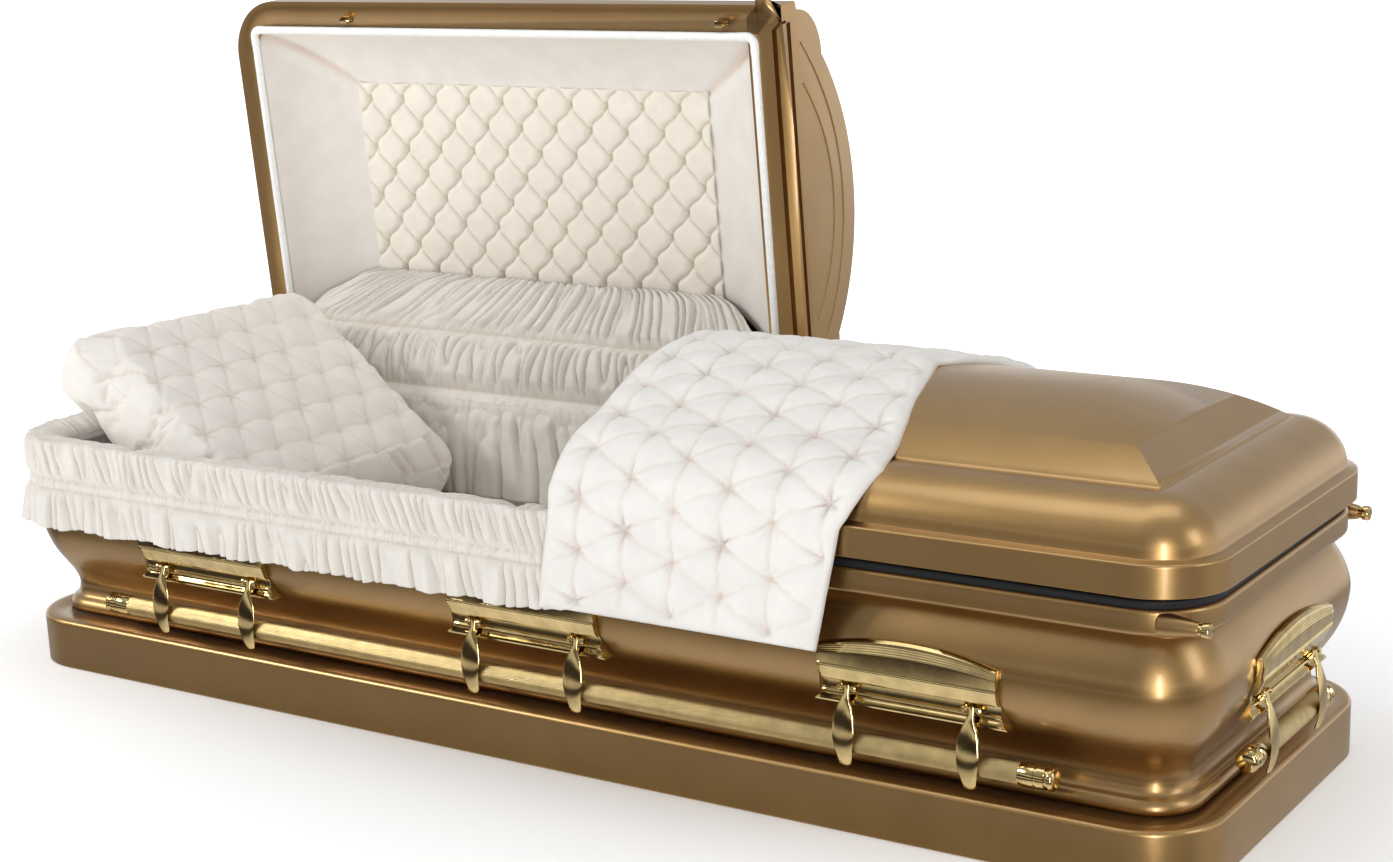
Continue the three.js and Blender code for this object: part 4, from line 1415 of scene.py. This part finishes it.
def filled(mesh, pressure):
    """Blows a closed cloth case up, as its filling would, and caps how far a point may move."""
    case = bpy.data.objects.new("case", mesh)
    bpy.context.scene.collection.objects.link(case)
    start = [v.co.copy() for v in mesh.vertices]
    settings = case.modifiers.new("cloth", "CLOTH").settings
    settings.use_pressure = True
    settings.uniform_pressure_force = pressure
    settings.quality = 6
    settings.mass = 0.3
    settings.tension_stiffness = 12
    settings.bending_stiffness = 0.3
    settings.effector_weights.gravity = 0
    scene = bpy.context.scene
    scene.frame_set(1)
    for step in range(1, FILL_FRAMES + 1):
        scene.frame_set(step)
    done = final_mesh(case)
    scene.frame_set(1)
    for vert, place in zip(done.vertices, start):
        move = vert.co - place
        if move.length > FILL_REACH:
            vert.co = place + move * (FILL_REACH / move.length)
    bpy.data.objects.remove(case)
    return done


LINING_INSET, LINING_TOP, LINING_LOW = 50, 374, 160
MATTRESS_SIZE, MATTRESS_MIDDLE = (1950, 478, 98), 146


class CASKET_OT_bed(bpy.types.Operator):
    """Mattress and the shirred lining of the body"""

    bl_idname = "casket.bed"
    bl_label = "Bed and body lining"

    def execute(self, context):
        spacing = context.scene.casket_sizes.gather / MM
        bm = bmesh.new()
        place = Matrix.Translation((0, 0, MATTRESS_MIDDLE)) @ Matrix.Diagonal((*MATTRESS_SIZE, 1))
        bmesh.ops.create_cube(bm, size=1, matrix=place)
        round_off(bm, upright_edges(bm), 46, 6)
        rims = [e for e in bm.edges if abs(e.verts[0].co.z - e.verts[1].co.z) < 1]
        round_off(bm, rims, 22, 4)
        cuts = [((k * 48, 0, 0), (1, 0, 0)) for k in range(-19, 20)]
        cuts += [((0, k * 47, 0), (0, 1, 0)) for k in range(-4, 5)]
        for point, normal in cuts:
            every = bm.verts[:] + bm.edges[:] + bm.faces[:]
            bmesh.ops.bisect_plane(bm, geom=every, plane_co=point, plane_no=normal)
        bmesh.ops.triangulate(bm, faces=bm.faces[:])
        for vert in bm.verts:
            if vert.co.z > 190:
                vert.co.z -= 3 * abs(ripple(vert.co.x / 90, vert.co.y / 90, 1))
        crepe = "crepe_ivory_woven"
        piece = finish_soft(bm, "mattress", "casket", crepe, ["bed"])

        length, width = LEDGE_LENGTH - LINING_INSET, LEDGE_WIDTH - LINING_INSET
        corner = LEDGE_CORNER - LINING_INSET
        straight = [2 * (width - corner), 2 * (length - corner)]
        quarter = corner * math.pi / 2
        total = 2 * sum(straight) + 4 * quarter

        def lined(u, v):
            along = u * total
            place = Vector((length - corner, -width, 0))
            out = Vector((0, -1, 0))
            rest = along
            for side in (0, 1, 0, 1):
                turn = min(rest, quarter)
                centre = place - out * corner
                out = Matrix.Rotation(turn / corner, 3, "Z") @ out
                place = centre + out * corner
                rest -= turn
                step = min(rest, straight[side])
                place = place + Vector((-out.y, out.x, 0)) * step
                rest -= step
                if rest <= 0:
                    break
            depth = 10 * ease(v / 0.25) * folds(along, v * 200, spacing * 2.1, 21.0)
            depth += 3 * folds(along, v * 200, spacing, 8.0) * (1 - ease(v / 0.2))
            end = ease(u * total / 20) * ease((1 - u) * total / 20)
            return place - out * depth * end + Vector((0, 0, mix(LINING_TOP, LINING_LOW, v)))

        bm = cloth_grid(820, 18, lined)
        name, replaces = "body_shirred_lining", ["body_lining"]
        piece = finish_cloth(bm, name, "casket", crepe, (0, 0, 300), replaces, thickness=1.5)
        return {"FINISHED"}


class CASKET_OT_foot_lining(bpy.types.Operator):
    """Shirred lining inside the foot lid"""

    bl_idname = "casket.foot_lining"
    bl_label = "Foot lid lining"

    def execute(self, context):
        spacing = context.scene.casket_sizes.gather / MM
        left, right, half = 121, 1010, 275

        def lined(u, v):
            x, y = mix(left, right, u), mix(-half, half, v)
            edge = min(x - left, right - x, y + half, half - y)
            rise = math.sin(min(edge / 100, 1.0) * math.pi / 2)
            gathers = folds(x + 10 * math.sin(y / 40), y, spacing * 1.5, 31.0)
            depth = (2 + 7 * ease(edge / 30)) * gathers
            ribs = bell((abs(y) - 92) / 5)
            return Vector((x, y, mix(391, 468, rise) - depth * (1 - ribs) + 3 * ribs * rise))

        bm = cloth_grid(210, 56, lined)
        name, crepe, below = "foot_lid_shirred_lining", "crepe_ivory_woven", (560, 0, 100)
        replaces = ["foot_lid_lining"]
        piece = finish_cloth(bm, name, "foot_lid", crepe, below, replaces, FOOT_OPEN)
        return {"FINISHED"}


# Stage


CAMERA_PLACE = (2.12864, -3.02894, 1.31338)
CAMERA_YAW, CAMERA_PITCH, CAMERA_ROLL = 0.57789, 0.25852, -0.03512


def aim_camera():
    """The camera at the photograph's viewing angle."""
    data = bpy.data.cameras.new("view")
    data.sensor_width = 36
    data.lens = 63.17
    data.shift_x = -0.01718
    data.shift_y = 0.0418
    data.clip_end = 60
    camera = bpy.data.objects.new("view", data)
    bpy.context.scene.collection.objects.link(camera)
    flat = math.cos(CAMERA_PITCH)
    heading = (-math.sin(CAMERA_YAW) * flat, math.cos(CAMERA_YAW) * flat)
    ahead = Vector((*heading, -math.sin(CAMERA_PITCH)))
    level = ahead.cross(Vector((0, 0, 1))).normalized()
    up = level.cross(ahead)
    right = level * math.cos(CAMERA_ROLL) + up * math.sin(CAMERA_ROLL)
    top = up * math.cos(CAMERA_ROLL) - level * math.sin(CAMERA_ROLL)
    camera.matrix_world = Matrix((right, top, -ahead)).transposed().to_4x4()
    camera.location = CAMERA_PLACE
    bpy.context.scene.camera = camera


# Tones of the dome from straight down, 0, over the horizon, 0.5, to straight up, 1. In
# front, pale and dark bands draw the flutes of the polished gold.
FRONT_TONES = (
    *((0.10, "#f2efec"), (0.22, "#c8c4c0"), (0.27, "#4a4540"), (0.33, "#3a3530")),
    *((0.36, "#c8c2bc"), (0.40, "#c8c2bc"), (0.43, "#3a3530"), (0.52, "#3a3530")),
    *((0.56, "#d8d4ce"), (0.60, "#e6e2dc"), (0.63, "#5c5650"), (0.72, "#8c8a88")),
    (0.90, "#b8b8b8"),
)
BEHIND_TONES = (
    *((0.20, "#d8d4d0"), (0.38, "#9a9896"), (0.45, "#ffffff"), (0.54, "#ffffff")),
    *((0.66, "#b8b8ba"), (0.90, "#b8b8b8")),
)

# (place, aim, width, height, watts), in metres
LIGHTS = {
    "over": ((0.2, -0.3, 3.6), (0.0, 0.0, 0.4), 4.2, 1.6, 28),
    "key": ((-3.7, -2.7, 2.9), (-0.2, 0.0, 0.5), 1.8, 1.0, 88),
    "strip": ((2.9, -3.5, 0.6), (0.9, -0.2, 0.3), 0.45, 2.6, 62),
    "side": ((4.4, -0.2, 1.9), (0.8, 0.0, 0.4), 1.2, 1.8, 20),
}


class CASKET_OT_stage(bpy.types.Operator):
    """Camera, pale floor and soft studio lights"""

    bl_idname = "casket.stage"
    bl_label = "Stage"

    def execute(self, context):
        aim_camera()
        bm = bmesh.new()
        low = Matrix.Translation((0, 0, -0.4))
        bmesh.ops.create_grid(bm, x_segments=1, y_segments=1, size=16000, matrix=low)
        floor = finish_piece(bm, "floor", None, "paper_white_matt")
        floor.visible_glossy = False
        # The backdrop is only a background: it neither lights nor is mirrored
        bm = bmesh.new()
        bmesh.ops.create_uvsphere(bm, u_segments=48, v_segments=24, radius=24000)
        backdrop = finish_piece(bm, "backdrop", None, "paper_white_lit")
        backdrop.visible_glossy = backdrop.visible_diffuse = backdrop.visible_shadow = False

        # The dome is white behind the casket and dim at eye level in front of it, so that the
        # upright steel has something dark to reflect. The floor is left out of reflections,
        # and the lower half of the dome stands in for it.
        world = bpy.data.worlds.new("studio")
        context.scene.world = world
        world.use_nodes = True
        tree = world.node_tree
        place = add_node(tree, "ShaderNodeTexCoord").outputs["Generated"]
        split = add_node(tree, "ShaderNodeSeparateXYZ", {"Vector": place})
        from_below = {"Value": split.outputs["Z"], "From Min": -1.0}
        height = add_node(tree, "ShaderNodeMapRange", from_below).outputs["Result"]
        front, behind = (
            ramp(tree, height, [(stop, colour(tone)) for stop, tone in tones])
            for tones in (FRONT_TONES, BEHIND_TONES)
        )
        from_front = {"Value": split.outputs["Y"], "From Min": -0.15, "From Max": 0.25}
        side = add_node(
            tree, "ShaderNodeMapRange", from_front, interpolation_type="SMOOTHSTEP"
        ).outputs["Result"]
        both = add_node(tree, "ShaderNodeMix", {"Factor": side}, data_type="RGBA")
        tree.links.new(front, both.inputs[6])
        tree.links.new(behind, both.inputs[7])
        dome = tree.nodes["Background"]
        tree.links.new(both.outputs[2], dome.inputs["Color"])
        dome.inputs["Strength"].default_value = 1.04

        for name, (spot, aim, width, height, watts) in LIGHTS.items():
            data = bpy.data.lights.new(name, "AREA")
            data.shape = "RECTANGLE"
            data.size, data.size_y = width, height
            data.energy = watts
            lamp = bpy.data.objects.new(name, data)
            context.scene.collection.objects.link(lamp)
            lamp.location = spot
            towards = Vector(aim) - Vector(spot)
            lamp.rotation_euler = towards.to_track_quat("-Z", "Y").to_euler()
        context.scene.view_settings.view_transform = "Standard"
        return {"FINISHED"}


class CASKET_PT_panel(bpy.types.Panel):
    bl_label = "Casket"
    bl_idname = "CASKET_PT_panel"
    bl_space_type = "VIEW_3D"
    bl_region_type = "UI"
    bl_category = "Casket"

    def draw(self, context):
        for group in (context.scene.casket_sizes, context.scene.casket_colours):
            for name in group.__annotations__:
                self.layout.prop(group, name)
        for step in STEPS:
            self.layout.operator(step.bl_idname)


STEPS = (
    CASKET_OT_stage,
    CASKET_OT_steel,
    CASKET_OT_seal,
    CASKET_OT_fittings,
    CASKET_OT_head_lining,
    CASKET_OT_apron,
    CASKET_OT_valance,
    CASKET_OT_throw,
    CASKET_OT_pillow,
    CASKET_OT_bed,
    CASKET_OT_foot_lining,
)
CLASSES = (CasketSizes, CasketColours, *STEPS, CASKET_PT_panel)


def register():
    for made in CLASSES:
        bpy.utils.register_class(made)
    bpy.types.Scene.casket_sizes = bpy.props.PointerProperty(type=CasketSizes)
    bpy.types.Scene.casket_colours = bpy.props.PointerProperty(type=CasketColours)


def unregister():
    del bpy.types.Scene.casket_sizes
    del bpy.types.Scene.casket_colours
    for made in reversed(CLASSES):
        bpy.utils.unregister_class(made)


def main():
    register()
    bpy.ops.casket.stage()
    bpy.ops.casket.steel()
    bpy.ops.casket.seal()
    bpy.ops.casket.fittings()
    bpy.ops.casket.head_lining()
    bpy.ops.casket.apron()
    bpy.ops.casket.valance()
    bpy.ops.casket.throw()
    bpy.ops.casket.pillow()
    bpy.ops.casket.bed()
    bpy.ops.casket.foot_lining()


if __name__ == "__main__":
    main()
